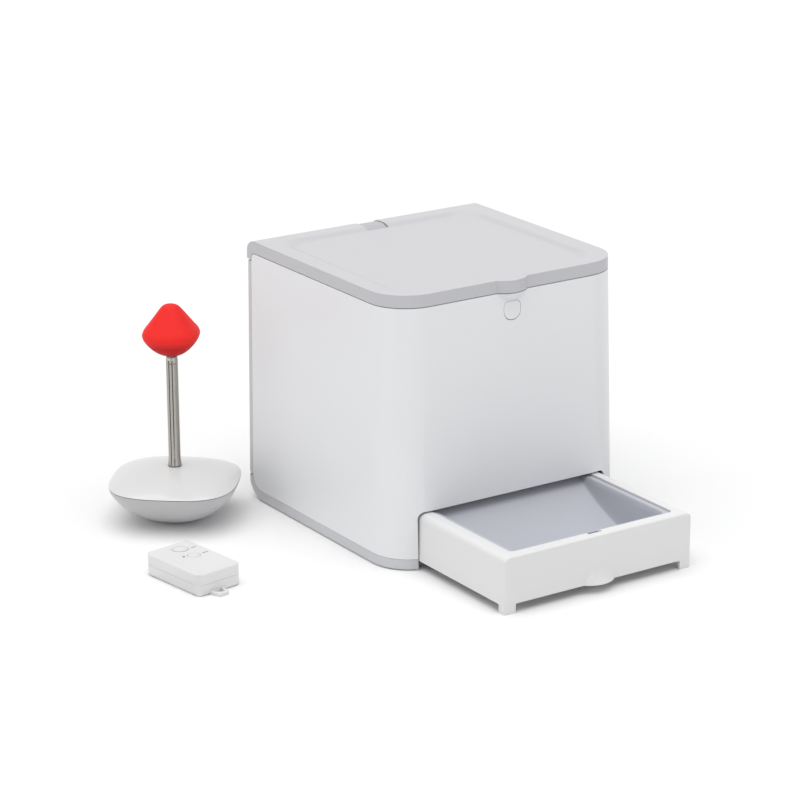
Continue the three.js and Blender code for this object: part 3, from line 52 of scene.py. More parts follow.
# Stage: a pale floor, an even sky and three wide lamps
WORLD_LEVEL = 0.46
FLOOR_COLOUR = (0.93, 0.93, 0.93)
FLOOR_HALF = 8
FLOOR_ROUGHNESS = 0.9
FLOOR_SPECULAR = 0.1
# Each lamp: name, the point it shines from, strength, angular size in degrees
LAMPS = [
    ("lamp_over", (-0.12, -0.06, 1), 1.85, 70),
    ("lamp_left", (-1, 0.1, 0.22), 0.45, 50),
    ("lamp_front", (0.4, -1, 0.22), 0.38, 50),
]
# Dark cards on the floor round the wand, seen only in its polished metal
CARD_CENTRE = (-0.1895, 0.101)
CARD_RISE = 1 * MM
CARD_TONE = (0.02, 0.02, 0.02)
# Each card: name, first and last degree, near and far end
DARK_CARDS = [
    ("card_near", (-128, -110), 0.1, 0.8),
    ("card_left", (168, 186), 0.1, 1.2),
    ("card_right", (-42, -20), 0.1, 1.2),
]

# Small roundings that every moulding has along its edges, and the angles from which they start
EDGE = {"thin": 0.1 * MM, "fine": 0.18 * MM, "small": 0.35 * MM}
EDGE_SEGMENTS = 2
EDGE_ANGLE = math.radians(32)
RECESS_ANGLE = math.radians(56)
FLAT_ANGLE = math.radians(0.8)
TRUE_FLAT_ANGLE = math.radians(0.1)
WELD_REACH = 0.005 * MM
NORMAL_WEIGHT = 80
SMOOTH_ANGLE = 38
BOWL_SMOOTH_ANGLE = 40
MERGE_REACH = 0.001 * MM

# Fineness of turned and domed pieces
ROUND_SIDES = 64
DOME_SIDES = 96
DOME_STEPS = 28
UNDER_STEPS = 24
CORNER_STEPS = 8
BAR_STEPS = 5
TIP_STEPS = 3

# Patches that break up each effect: patches per metre, detail, and for a mask also the spread and least share
CLOUD_PATCHES = (11, 3)
GLOSS_PATCHES = (70, 4, 0.65)
RUB_PATCHES = (160, 3, 1.2, 0.2)
SHADE_AND_DUST_PATCHES = (90, 4, 0.8, 0.5)
TOP_LIGHT_PATCHES = (35, 3, 0.16, 0.92)
RUB_GAIN = 5


# Shader node helpers
def add_node(tree, kind, inputs, **settings):
    node = tree.nodes.new(kind)
    for key, value in settings.items():
        setattr(node, key, value)
    for key, value in inputs.items():
        if isinstance(value, bpy.types.NodeSocket):
            tree.links.new(value, node.inputs[key])
        else:
            node.inputs[key].default_value = value
    return node


def maths(tree, operation, *values, clamp=False):
    inputs = dict(enumerate(values))
    return add_node(tree, "ShaderNodeMath", inputs, operation=operation, use_clamp=clamp).outputs[0]


def object_coords(tree):
    return tree.nodes.new("ShaderNodeTexCoord").outputs["Object"]


def noise(tree, coords, scale, detail, roughness=0.5):
    inputs = {"Vector": coords, "Scale": scale, "Detail": detail, "Roughness": roughness}
    return add_node(tree, "ShaderNodeTexNoise", inputs).outputs["Fac"]


def patchy(tree, mask, amount, scale, detail, spread, least):
    """A mask times an amount, broken up by patches that keep at least a share of it."""
    patches = maths(tree, "MULTIPLY_ADD", noise(tree, object_coords(tree), scale, detail), spread, least)
    return maths(tree, "MULTIPLY", maths(tree, "MULTIPLY", mask, patches), amount, clamp=True)


def wandering_roughness(tree, given, pattern):
    """The given roughness, moved up and down by the given spread where a pattern leaves its middle."""
    spread = maths(tree, "MULTIPLY", maths(tree, "SUBTRACT", pattern, 0.5), given["Roughness spread"])
    return maths(tree, "ADD", given["Roughness"], spread, clamp=True)


def blend_colour(tree, share, first, second):
    node = add_node(tree, "ShaderNodeMix", {0: share, 6: first, 7: second}, data_type="RGBA")
    return node.outputs[2]


def new_group(name, inputs, outputs):
    tree = bpy.data.node_groups.new(name, "ShaderNodeTree")
    kinds = {"colour": "NodeSocketColor", "value": "NodeSocketFloat"}
    for label, kind, start in inputs:
        socket = tree.interface.new_socket(name=label, in_out="INPUT", socket_type=kinds[kind])
        socket.default_value = start
    for label, kind in outputs:
        tree.interface.new_socket(name=label, in_out="OUTPUT", socket_type=kinds[kind])
    return tree, tree.nodes.new("NodeGroupInput").outputs, tree.nodes.new("NodeGroupOutput").inputs


def use_group(tree, group, **values):
    node = tree.nodes.new("ShaderNodeGroup")
    node.node_tree = group
    for label, value in values.items():
        socket = node.inputs[label.replace("_", " ")]
        if isinstance(value, bpy.types.NodeSocket):
            tree.links.new(value, socket)
        else:
            socket.default_value = value
    return node.outputs


# Shared effects
def moulded_skin_group():
    """Slight clouding in the colour, a fine spark-eroded grain and a roughness that wanders a little."""
    tree, given, out = new_group(
        "moulded skin",
        [("Colour", "colour", (0.8, 0.8, 0.8, 1)), ("Cloud", "value", 0.02), ("Grain size", "value", 0.0006),
         ("Grain depth", "value", 0.00002), ("Roughness", "value", 0.4), ("Roughness spread", "value", 0.06)],
        [("Colour", "colour"), ("Roughness", "value"), ("Height", "value")],
    )
    coords = object_coords(tree)
    cloud = noise(tree, coords, *CLOUD_PATCHES)
    lowest = maths(tree, "MULTIPLY_ADD", given["Cloud"], -0.5, 1)
    lift = maths(tree, "MULTIPLY_ADD", cloud, given["Cloud"], lowest)
    value = add_node(tree, "ShaderNodeHueSaturation", {"Value": lift, "Color": given["Colour"]})
    tree.links.new(value.outputs["Color"], out["Colour"])
    fineness = maths(tree, "DIVIDE", 1, given["Grain size"])
    grain = noise(tree, coords, fineness, 2, 0.6)
    tree.links.new(maths(tree, "MULTIPLY", grain, given["Grain depth"]), out["Height"])
    patches = noise(tree, coords, *GLOSS_PATCHES)
    tree.links.new(wandering_roughness(tree, given, patches), out["Roughness"])
    return tree


def edge_rub_group():
    """A mask of the edges, broken up as handling does, from how far a rounded normal leaves the true one."""
    tree, given, out = new_group(
        "edge rub", [("Width", "value", 0.0008), ("Amount", "value", 0.5)], [("Mask", "value")]
    )
    rounded = add_node(tree, "ShaderNodeBevel", {"Radius": given["Width"]}, samples=3)
    plain = tree.nodes.new("ShaderNodeNewGeometry").outputs["Normal"]
    dot = add_node(tree, "ShaderNodeVectorMath", {0: rounded.outputs[0], 1: plain}, operation="DOT_PRODUCT")
    away = maths(tree, "SUBTRACT", 1, dot.outputs["Value"])
    outer = maths(tree, "MULTIPLY", away, RUB_GAIN)
    tree.links.new(patchy(tree, outer, given["Amount"], *RUB_PATCHES), out["Mask"])
    return tree


def seam_shade_and_dust_group():
    """A mask of the narrow corners and seams that are shut in, for painted shade there; on black plastic it
    lays a pale dusting instead.
    """
    tree, given, out = new_group(
        "seam shade and dusting", [("Reach", "value", 0.004), ("Amount", "value", 0.4)], [("Mask", "value")]
    )
    shut = add_node(tree, "ShaderNodeAmbientOcclusion", {"Distance": given["Reach"]}, samples=4)
    hidden = maths(tree, "SUBTRACT", 1, shut.outputs["AO"])
    tree.links.new(patchy(tree, hidden, given["Amount"], *SHADE_AND_DUST_PATCHES), out["Mask"])
    return tree


def drawn_lines_group():
    """Fine lines along one direction, as drawing, turning or brushing leaves on metal."""
    tree, given, out = new_group(
        "drawn lines",
        [("Along X", "value", 1.0), ("Along Y", "value", 1.0), ("Along Z", "value", 0.02),
         ("Fineness", "value", 2500.0), ("Depth", "value", 0.000004), ("Roughness", "value", 0.25),
         ("Roughness spread", "value", 0.1)],
        [("Height", "value"), ("Roughness", "value"), ("Lines", "value")],
    )
    sides = {axis: given["Along " + axis] for axis in "XYZ"}
    both = {0: object_coords(tree), 1: add_node(tree, "ShaderNodeCombineXYZ", sides).outputs[0]}
    drawn = add_node(tree, "ShaderNodeVectorMath", both, operation="MULTIPLY").outputs[0]
    lines = noise(tree, drawn, given["Fineness"], 3, 0.6)
    tree.links.new(lines, out["Lines"])
    tree.links.new(maths(tree, "MULTIPLY", lines, given["Depth"]), out["Height"])
    tree.links.new(wandering_roughness(tree, given, lines), out["Roughness"])
    return tree


def painted_top_light_group():
    """A mask of the faces that look up, for painted light that makes them paler than the sides."""
    tree, given, out = new_group(
        "painted top light", [("Steep", "value", 0.5), ("Level", "value", 0.9), ("Amount", "value", 1.0)],
        [("Mask", "value")],
    )
    facing = tree.nodes.new("ShaderNodeTexCoord").outputs["Normal"]
    rise = add_node(tree, "ShaderNodeSeparateXYZ", {0: facing}).outputs["Z"]
    limits = {"Value": rise, "From Min": given["Steep"], "From Max": given["Level"]}
    level = add_node(tree, "ShaderNodeMapRange", limits, interpolation_type="SMOOTHSTEP").outputs[0]
    tree.links.new(patchy(tree, level, given["Amount"], *TOP_LIGHT_PATCHES), out["Mask"])
    return tree


MOULDED_SKIN = moulded_skin_group()
EDGE_RUB = edge_rub_group()
SEAM_SHADE_AND_DUST = seam_shade_and_dust_group()
DRAWN_LINES = drawn_lines_group()
PAINTED_TOP_LIGHT = painted_top_light_group()


# Materials
def new_material(name):
    material = bpy.data.materials.new(name)
    material.use_nodes = True
    tree = material.node_tree
    return material, tree, tree.nodes["Principled BSDF"]


def shaded(colour, tone=1.0):
    return tuple(min(1, part * tone) for part in colour) + (1,)


def finish_surface(tree, shader, colour, roughness, height):
    tree.links.new(colour, shader.inputs["Base Color"])
    tree.links.new(roughness, shader.inputs["Roughness"])
    relief = add_node(tree, "ShaderNodeBump", {"Height": height, "Strength": 1, "Distance": 1})
    tree.links.new(relief.outputs["Normal"], shader.inputs["Normal"])


def moulding(name, colour, roughness, grain=0.0005, depth=0.000012, cloud=0.025, rub=0.25, shade_and_dust_amount=0.35,
             shade_and_dust_tone=0.55, lighter=1.12, coat=0.0, painted_top_colour=None, steep=0.5, level=0.9):
    """Injection moulded plastic: painted light makes it a little paler where it looks up if a painted top
    colour is given, and a seam tone darkens its seams as painted shade; on black plastic that tone is paler,
    a dusting.
    """
    material, tree, shader = new_material(name)
    base = shaded(colour)
    # Painted light: faces that look up take a paler colour, as if lit more from above.
    if painted_top_colour:
        top_light_mask = use_group(tree, PAINTED_TOP_LIGHT, Steep=steep, Level=level, Amount=1.0)["Mask"]
        base = blend_colour(tree, top_light_mask, base, shaded(painted_top_colour))
    skin = use_group(tree, MOULDED_SKIN, Colour=base, Cloud=cloud, Grain_size=grain, Grain_depth=depth,
                     Roughness=roughness, Roughness_spread=0.08)
    rubbed = use_group(tree, EDGE_RUB, Width=0.0007, Amount=rub)["Mask"]
    # Painted shade: shut-in corners and seams take a darker tone; black plastic takes a paler tone there, a
    # dusting.
    shade_and_dust_mask = use_group(tree, SEAM_SHADE_AND_DUST, Reach=0.003, Amount=shade_and_dust_amount)["Mask"]
    worn = blend_colour(tree, rubbed, skin["Colour"], shaded(colour, lighter))
    shade_and_dust_colour = blend_colour(tree, shade_and_dust_mask, worn, shaded(colour, shade_and_dust_tone))
    finish_surface(tree, shader, shade_and_dust_colour, skin["Roughness"], skin["Height"])
    shader.inputs["IOR"].default_value = 1.49
    if coat:
        shader.inputs["Coat Weight"].default_value = coat
        shader.inputs["Coat Roughness"].default_value = 0.12
    return material


def metal(name, colour, roughness, along=(1, 1, 0.02), fineness=2500.0):
    """Drawn or turned metal, with its lines along one direction."""
    material, tree, shader = new_material(name)
    lines = use_group(tree, DRAWN_LINES, Along_X=along[0], Along_Y=along[1], Along_Z=along[2],
                      Fineness=fineness, Depth=0.000003, Roughness=roughness, Roughness_spread=0.12)
    # Painted shade: shut-in corners and seams take a darker tone.
    shade_and_dust_mask = use_group(tree, SEAM_SHADE_AND_DUST, Reach=0.004, Amount=0.5)["Mask"]
    toned = blend_colour(tree, lines["Lines"], shaded(colour, 0.86), shaded(colour))
    shade_and_dust_colour = blend_colour(tree, shade_and_dust_mask, toned, shaded(colour, 0.4))
    finish_surface(tree, shader, shade_and_dust_colour, lines["Roughness"], lines["Height"])
    shader.inputs["Metallic"].default_value = 1
    return material


def silicone(name, upper, shaded_underside, low, high):
    """Matt silicone rubber, darker towards its underside by painted shade."""
    material, tree, shader = new_material(name)
    # Painted shade: the colour runs from the upper tone down to a darker tone on the underside, where shade
    # falls.
    height = add_node(tree, "ShaderNodeSeparateXYZ", {0: object_coords(tree)}).outputs["Z"]
    limits = {"Value": height, "From Min": low, "From Max": high}
    share = add_node(tree, "ShaderNodeMapRange", limits).outputs[0]
    base = blend_colour(tree, share, shaded(shaded_underside), shaded(upper))
    skin = use_group(tree, MOULDED_SKIN, Colour=base, Cloud=0.05, Grain_size=0.0003, Grain_depth=0.00001,
                     Roughness=0.62, Roughness_spread=0.1)
    # Painted shade: shut-in corners and seams take a darker tone.
    shade_and_dust_mask = use_group(tree, SEAM_SHADE_AND_DUST, Reach=0.004, Amount=0.4)["Mask"]
    shade_and_dust_colour = blend_colour(tree, shade_and_dust_mask, skin["Colour"], shaded(shaded_underside, 0.5))
    finish_surface(tree, shader, shade_and_dust_colour, skin["Roughness"], skin["Height"])
    shader.inputs["IOR"].default_value = 1.41
    shader.inputs["Specular IOR Level"].default_value = 0.3
    return material


def circuit_board(name, lacquer, track):
    """Green lacquer over copper tracks that run square to each other."""
    material, tree, shader = new_material(name)
    turn = {"Vector": object_coords(tree), "Rotation": (math.pi / 2, 0, 0)}
    upright = add_node(tree, "ShaderNodeMapping", turn).outputs[0]
    rows = {"Vector": upright, "Scale": 260.0, "Mortar Size": 0.06, "Brick Width": 1.3, "Row Height": 0.35}
    tracks = add_node(tree, "ShaderNodeTexBrick", rows).outputs["Fac"]
    skin = use_group(tree, MOULDED_SKIN, Colour=shaded(lacquer), Cloud=0.1, Grain_size=0.0008,
                     Grain_depth=0.000006, Roughness=0.35, Roughness_spread=0.1)
    coppered = blend_colour(tree, tracks, skin["Colour"], shaded(track))
    relief = maths(tree, "MULTIPLY", tracks, 0.03 * MM)
    finish_surface(tree, shader, coppered, skin["Roughness"], relief)
    return material


def dark_window(name, colour):
    """Smoked clear plastic over an unlit display: glossy, with faint smears."""
    material, tree, shader = new_material(name)
    skin = use_group(tree, MOULDED_SKIN, Colour=shaded(colour), Cloud=0.3, Grain_size=0.004,
                     Grain_depth=0.0000008, Roughness=0.1, Roughness_spread=0.12)
    finish_surface(tree, shader, skin["Colour"], skin["Roughness"], skin["Height"])
    shader.inputs["Coat Weight"].default_value = 1
    shader.inputs["Coat Roughness"].default_value = 0.03
    return material


def cell_sleeve(name, sleeve, cap, cap_reach, rub):
    """A battery's sleeve in two plain tones: a pale cap starts at a distance from the middle of the box."""
    material, tree, shader = new_material(name)
    along = add_node(tree, "ShaderNodeSeparateXYZ", {0: object_coords(tree)}).outputs["X"]
    outer = maths(tree, "GREATER_THAN", maths(tree, "ABSOLUTE", along), cap_reach)
    base = blend_colour(tree, outer, shaded(sleeve), shaded(cap))
    skin = use_group(tree, MOULDED_SKIN, Colour=base, Cloud=0.06, Grain_size=0.001, Grain_depth=0.000004,
                     Roughness=0.3, Roughness_spread=0.1)
    rubbed = use_group(tree, EDGE_RUB, Width=0.001, Amount=0.6)["Mask"]
    worn = blend_colour(tree, rubbed, skin["Colour"], shaded(rub))
    finish_surface(tree, shader, worn, skin["Roughness"], skin["Height"])
    shader.inputs["Metallic"].default_value = 0.25
    return material


# Finishes
WHITE_WRAP = moulding("white_wrap", (0.775, 0.785, 0.80), 0.4, cloud=0.02)
# Lid: its up-facing faces are paler by painted light.
LID_GREY = moulding("lid_grey", (0.52, 0.522, 0.545), 0.46, grain=0.0006, depth=0.00002,
                    painted_top_colour=(0.59, 0.59, 0.61), steep=0.86, level=0.998)
KNUCKLE_GREY = moulding("knuckle_grey", (0.48, 0.482, 0.505), 0.46, grain=0.0006, depth=0.00002)
TRIM_GREY = moulding("trim_grey", (0.56, 0.565, 0.59), 0.45, grain=0.0006, depth=0.00002)
# Tray and bowl: their up-facing faces are paler by painted light, so the bowl's steep walls stay darker as
# painted shade.
TRAY_WHITE = moulding("tray_white", (0.73, 0.73, 0.735), 0.36, cloud=0.02, painted_top_colour=(0.78, 0.78, 0.785))
BOWL_GREY = moulding("bowl_grey", (0.40, 0.41, 0.455), 0.42, shade_and_dust_tone=0.6, painted_top_colour=(0.51, 0.52, 0.575))
INNER_GREY = moulding("inner_grey", (0.34, 0.35, 0.37), 0.55, grain=0.0008, depth=0.00003)
BLACK_PLASTIC = moulding("black_plastic", (0.03, 0.031, 0.034), 0.5, grain=0.0007, depth=0.00003,
                         lighter=2.6, rub=0.5, shade_and_dust_tone=2.5, shade_and_dust_amount=0.15)
BUTTON_RUBBER = moulding("button_rubber", (0.1, 0.103, 0.11), 0.75, grain=0.0003, depth=0.00001,
                         lighter=1.6)
SEAL_RUBBER = moulding("seal_rubber", (0.19, 0.19, 0.2), 0.82, grain=0.0004, depth=0.00002, lighter=1.4)
GEAR_PLASTIC = moulding("gear_plastic", (0.78, 0.75, 0.67), 0.42, grain=0.0009, depth=0.000015,
                        cloud=0.04)
REMOTE_WHITE = moulding("remote_white", (0.73, 0.73, 0.732), 0.38, cloud=0.02)
WAND_WHITE = moulding("wand_white", (0.68, 0.68, 0.682), 0.3, cloud=0.02, coat=0.2)
WAND_GREY = moulding("wand_grey", (0.48, 0.48, 0.49), 0.32, cloud=0.03, coat=0.2)
MARK_GREY = moulding("mark_grey", (0.3, 0.3, 0.31), 0.5, cloud=0.05)
ICON_GREY = moulding("icon_grey", (0.62, 0.62, 0.63), 0.5, cloud=0.05)
CHROME = metal("chrome_tube", (0.44, 0.42, 0.39), 0.13, fineness=1800.0)
PLAIN_STEEL = metal("plain_steel", (0.5, 0.5, 0.51), 0.32, along=(0.06, 1, 1), fineness=2200.0)
TURNED_STEEL = metal("turned_steel", (0.5, 0.5, 0.5), 0.28, along=(1, 1, 6), fineness=900.0)
NICKEL = metal("nickel_contact", (0.62, 0.58, 0.5), 0.25, along=(1, 1, 0.1))
# The tip's darker underside tone is painted shade.
TIP_SILICONE = silicone("tip_silicone", (0.83, 0.022, 0.018), (0.49, 0.002, 0.003),
                        low=149 * MM, high=155.5 * MM)
BOARD_GREEN = circuit_board("board_green", (0.03, 0.14, 0.06), (0.07, 0.25, 0.1))
DISPLAY_WINDOW = dark_window("display_window", (0.012, 0.014, 0.018))
CELL_SLEEVE = cell_sleeve("cell_sleeve", sleeve=(0.06, 0.07, 0.085), cap=(0.5, 0.5, 0.52),
                          cap_reach=46.5 * MM, rub=(0.5, 0.5, 0.5))


# Carried-over nodes: rounded edges, smooth shading and their material
def dress(name, material, edge, clamp=False, angle=EDGE_ANGLE, flat=FLAT_ANGLE):
    """Gives a node its finish: close points welded, flat faces merged, edges rounded, normals weighted."""
    node = nodes[name]
    node.data.materials.clear()
    node.data.materials.append(material)
    if "custom_normal" in node.data.attributes:
        node.data.attributes.remove(node.data.attributes["custom_normal"])
    node.data.shade_smooth()
    weld = node.modifiers.new("weld", "WELD")
    weld.merge_threshold = WELD_REACH
    merge = node.modifiers.new("merge flats", "DECIMATE")
    merge.decimate_type = "DISSOLVE"
    merge.angle_limit = flat
    rounding = node.modifiers.new("edge rounding", "BEVEL")
    rounding.width = EDGE[edge]
    rounding.segments = EDGE_SEGMENTS
    rounding.limit_method = "ANGLE"
    rounding.angle_limit = angle
    rounding.use_clamp_overlap = clamp
    rounding.harden_normals = False
    normals = node.modifiers.new("weighted normals", "WEIGHTED_NORMAL")
    normals.keep_sharp = False
    normals.weight = NORMAL_WEIGHT


# Nodes with short edges close together, whose roundings may not run into each other
CLOSE_EDGES = {
    "shell": {"clamp": True, "angle": RECESS_ANGLE},
    "lid": {"clamp": True},
    "latch_button": {"clamp": True},
    "base_pan": {"clamp": True},
    "treat_tray": {"clamp": True},
    "hopper": {"flat": TRUE_FLAT_ANGLE},
    "stirrer": {"flat": TRUE_FLAT_ANGLE},
}


def four(name):
    """The names of four like nodes."""
    return [name + "_" + number for number in "1234"]


# Each row: finish, edge rounding, nodes
FINISHES = [
    (WHITE_WRAP, "small", ["shell"]),
    (WHITE_WRAP, "fine", ["latch_button"]),
    (LID_GREY, "small", ["lid"]),
    (KNUCKLE_GREY, "fine", ["hinge_knuckle"]),
    (TRIM_GREY, "small", ["base_pan", "rear_cover"]),
    (TRIM_GREY, "fine", ["battery_door"]),
    (TRAY_WHITE, "small", ["treat_tray"]),
    (BOWL_GREY, "small", ["hopper"]),
    (INNER_GREY, "small", ["rotor_pan", "drop_guard", "drop_chute"]),
    (INNER_GREY, "small", ["tray_rail_left", "tray_rail_right"]),
    (INNER_GREY, "thin", ["gearbox_plate"]),
    (BLACK_PLASTIC, "small", ["battery_box", "power_switch", "speaker"]),
    (BUTTON_RUBBER, "small", ["menu_button_1", "menu_button_2", "menu_button_3"]),
    (SEAL_RUBBER, "small", ["lid_seal"] + four("rubber_foot")),
    (GEAR_PLASTIC, "fine", ["dispensing_disc", "stirrer", "drive_gear", "motor_pinion"]),
    (PLAIN_STEEL, "fine", ["gear_motor"] + four("base_screw")),
    (TURNED_STEEL, "fine", ["hinge_pin", "drive_shaft", "wand_weight", "remote_coin_cell"]),
    (NICKEL, "fine", ["contact_plate_left", "contact_plate_right"]),
    (BOARD_GREEN, "fine", ["control_board", "remote_board"]),
    (DISPLAY_WINDOW, "small", ["display_window"]),
    (CELL_SLEEVE, "small", four("battery_cell")),
    (REMOTE_WHITE, "fine", ["remote_top_case"]),
    (REMOTE_WHITE, "thin", ["remote_bottom_case"]),
    (REMOTE_WHITE, "small", ["remote_treat_button", "remote_tone_button", "remote_cell_door"]),
]
for material, edge, names in FINISHES:
    for name in names:
        dress(name, material, edge, **CLOSE_EDGES.get(name, {}))


# Pieces made here
def new_piece(name, points, faces, material, body, replaced=(), smooth=SMOOTH_ANGLE):
    """A mesh in metres that rides on a body and may stand for nodes of the CAD model."""
    mesh = bpy.data.meshes.new(name)
    mesh.from_pydata(points, [], faces)
    mesh.update()
    shape = bmesh.new()
    shape.from_mesh(mesh)
    bmesh.ops.remove_doubles(shape, verts=shape.verts, dist=MERGE_REACH)
    bmesh.ops.recalc_face_normals(shape, faces=shape.faces)
    shape.to_mesh(mesh)
    shape.free()
    mesh.shade_smooth()
    mesh.set_sharp_from_angle(angle=math.radians(smooth))
    mesh.materials.append(material)
    piece = bpy.data.objects.new(name, mesh)
    bpy.context.scene.collection.objects.link(piece)
    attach(piece, body)
    if replaced:
        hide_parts(*replaced)
    return piece


def turned_place(x, y, yaw):
    return Matrix.Translation((x * MM, y * MM, 0)) @ Matrix.Rotation(math.radians(yaw), 4, "Z")


def lofted(rings, place, ring_shut=False):
    """Faces through rings of equally many points in millimetres: capped, or joined back to the first ring."""
    count = len(rings[0])
    points = [place @ (Vector(p) * MM) for ring in rings for p in ring]
    faces = []
    steps = len(rings) if ring_shut else len(rings) - 1
    for k in range(steps):
        for i in range(count):
            j = (i + 1) % count
            here, there = k * count, ((k + 1) % len(rings)) * count
            faces.append((here + i, here + j, there + j, there + i))
    if not ring_shut:
        faces.append(tuple(reversed(range(count))))
        faces.append(tuple(range((len(rings) - 1) * count, len(rings) * count)))
    return points, faces


def rounded_square(half, power, z, count=DOME_SIDES):
    """A ring between a circle at power 2 and a rounded square at higher powers."""
    ring = []
    for i in range(count):
        turn = 2 * math.pi * i / count
        c, s = math.cos(turn), math.sin(turn)
        x = half * math.copysign(abs(c) ** (2 / power), c)
        y = half * math.copysign(abs(s) ** (2 / power), s)
        ring.append((x, y, z))
    return ring


def smooth_through(points, steps):
    """Points on a smooth curve through the given ones."""
    out = []
    for k in range(len(points) - 1):
        a, b = points[k], points[k + 1]
        before = points[max(k - 1, 0)]
        after = points[min(k + 2, len(points) - 1)]
        for i in range(steps):
            t = i / steps
            out.append(tuple(
                0.5 * (2 * q + (r - p) * t + (2 * p - 5 * q + 4 * r - s) * t * t
                       + (3 * q - p - 3 * r + s) * t ** 3)
                for p, q, r, s in zip(before, a, b, after)
            ))
    out.append(tuple(points[-1]))
    return out


# Target wand: a base with a swollen underside and a domed top
WAND = turned_place(-189.5, 101, -39.8)
WAND_HALF = 52.4
WAND_RIM = 32.7
WAND_DOME = 12
WAND_WALL = 2.2
FOOT_HALF = 11
SEAT_GAP = 0.3
RIM_SETBACK = 0.7
RIM_LIP = 0.25
RIM_SOFTNESS = 0.6
# Powers: 2 draws a circle and 3 the rim's rounded square, the others round the underside and the rim's edge
ROUND_POWER = 2
RIM_POWER = 3
SWELL = 1.52
RIM_TURN = 24
# Where the dome's inner side starts, as a share of its half width, and its least height over the seat
INNER_START = 0.2
INNER_GAP = 0.05

# The telescoping tubes, and the bored post of the domed top that holds them
TUBE_RADIUS = 4.9
TUBE_HOLE = 5.2
TUBE_FOOT = 16
TUBE_WALL = 0.6
TUBE_STEP = 0.85
TUBE_BORE = TUBE_RADIUS - TUBE_WALL
MIDDLE_RADIUS = TUBE_RADIUS - TUBE_STEP
MIDDLE_BORE = MIDDLE_RADIUS - TUBE_WALL
ROD_RADIUS = MIDDLE_RADIUS - TUBE_STEP
POST_WALL = 2.8
POST_ROOT = 3
HOLE_BEVEL = 0.4
HOLE_DROP = 0.1
# The outer tube flares at its foot, and has a groove and a rolled end at its top
OUTER_PROFILE = [
    (TUBE_BORE, TUBE_FOOT), (TUBE_RADIUS, TUBE_FOOT), (TUBE_RADIUS, 44.9), (5.45, 45.3), (5.6, 45.5),
    (5.6, 46.3), (5.5, 46.9), (5.2, 49.2), (5.02, 51.2), (TUBE_RADIUS, 53.2), (TUBE_RADIUS, 132.6),
    (4.7, 132.85), (4.7, 133.25), (TUBE_RADIUS, 133.5), (TUBE_RADIUS, 135.2), (4.84, 136), (4.72, 136.7),
    (4.5, 137), (4.5, 137.3), (4.62, 137.6), (4.6, 138), (4.5, 138.3), (TUBE_BORE + 0.04, 138.4),
    (TUBE_BORE, 138.3),
]
MIDDLE_PROFILE = [
    (MIDDLE_BORE, 16.3), (MIDDLE_RADIUS, 16.3), (MIDDLE_RADIUS, 137.9), (MIDDLE_RADIUS - 0.06, 138.3),
    (MIDDLE_RADIUS - 0.25, 138.6), (MIDDLE_RADIUS - 0.45, 138.7), (MIDDLE_BORE, 138.6),
]
ROD_PROFILE = [
    (0.2, 16.6), (ROD_RADIUS - 0.3, 16.6), (ROD_RADIUS, 16.9), (ROD_RADIUS, 153.2),
    (ROD_RADIUS - 0.3, 153.5), (0.2, 153.5),
]
FERRULE_PROFILE = [
    (ROD_RADIUS - 0.2, 138.95), (3.75, 138.95), (3.9, 139.1), (3.9, 139.7), (ROD_RADIUS - 0.2, 139.7),
]
# Each turned piece: name, (radius, height) points of its section, body, nodes that it replaces
TURNED_PIECES = [
    ("wand_tube_outer", OUTER_PROFILE, "wand", ["wand_outer_tube"]),
    ("wand_tube_middle", MIDDLE_PROFILE, "wand_middle", ["wand_middle_tube"]),
    ("wand_rod", ROD_PROFILE, "wand_inner", ["wand_inner_rod"]),
    ("wand_tip_ferrule", FERRULE_PROFILE, "wand_inner", []),
]


def under_rings(wall):
    """Rings from the small flat foot up to the rim: the outer skin at no wall, the inner one at a wall."""
    rings = []
    for k in range(UNDER_STEPS + 1):
        share = (k / UNDER_STEPS) ** 2
        power = ROUND_POWER + (RIM_POWER - ROUND_POWER) * math.sqrt(share)
        half = FOOT_HALF + (WAND_HALF - FOOT_HALF) * (1 - (1 - share) ** SWELL) ** (1 / SWELL)
        rings.append(rounded_square(half - wall * share, power, wall + (WAND_RIM - wall) * share))
    return rings


def wand_bottom():
    """The underside swells from its foot to the rim; its wall turns in at the rim."""
    points, faces = lofted(under_rings(0) + under_rings(WAND_WALL)[::-1], WAND)
    new_piece("wand_bottom_shell", points, faces, WAND_GREY, "wand", ["wand_base_bottom"])


def wand_top():
    """A shallow dome with a soft rim and a bored post for the tube."""
    seat = WAND_RIM + SEAT_GAP
    top = seat + WAND_DOME
    rings = [rounded_square(WAND_HALF - RIM_SETBACK, RIM_POWER, seat)]
    for k in range(DOME_STEPS):
        share = 1 - (1 - TUBE_HOLE / WAND_HALF) * k / DOME_STEPS
        lift = RIM_LIP + RIM_SOFTNESS * (1 - share ** RIM_TURN)
        z = seat + lift + (WAND_DOME - RIM_LIP - RIM_SOFTNESS) * (1 - share ** 2)
        power = ROUND_POWER + (RIM_POWER - ROUND_POWER) * share
        rings.append(rounded_square(WAND_HALF * share, power, z))
    mouth = top - HOLE_DROP
    post = [(HOLE_BEVEL, mouth), (0, mouth - HOLE_BEVEL), (0, TUBE_FOOT), (POST_WALL, TUBE_FOOT),
            (POST_WALL, top - POST_ROOT)]
    for wider, z in post:
        rings.append(rounded_square(TUBE_HOLE + wider, ROUND_POWER, z))
    for k in range(DOME_STEPS // 2 + 1):
        share = INNER_START + (1 - INNER_START) * 2 * k / DOME_STEPS
        z = max(seat + INNER_GAP, seat - WAND_WALL + WAND_DOME * (1 - share ** 2))
        power = ROUND_POWER + (RIM_POWER - ROUND_POWER) * share
        rings.append(rounded_square((WAND_HALF - WAND_WALL) * share, power, z))
    points, faces = lofted(rings, WAND, ring_shut=True)
    new_piece("wand_top_shell", points, faces, WAND_WHITE, "wand", ["wand_base_top"])


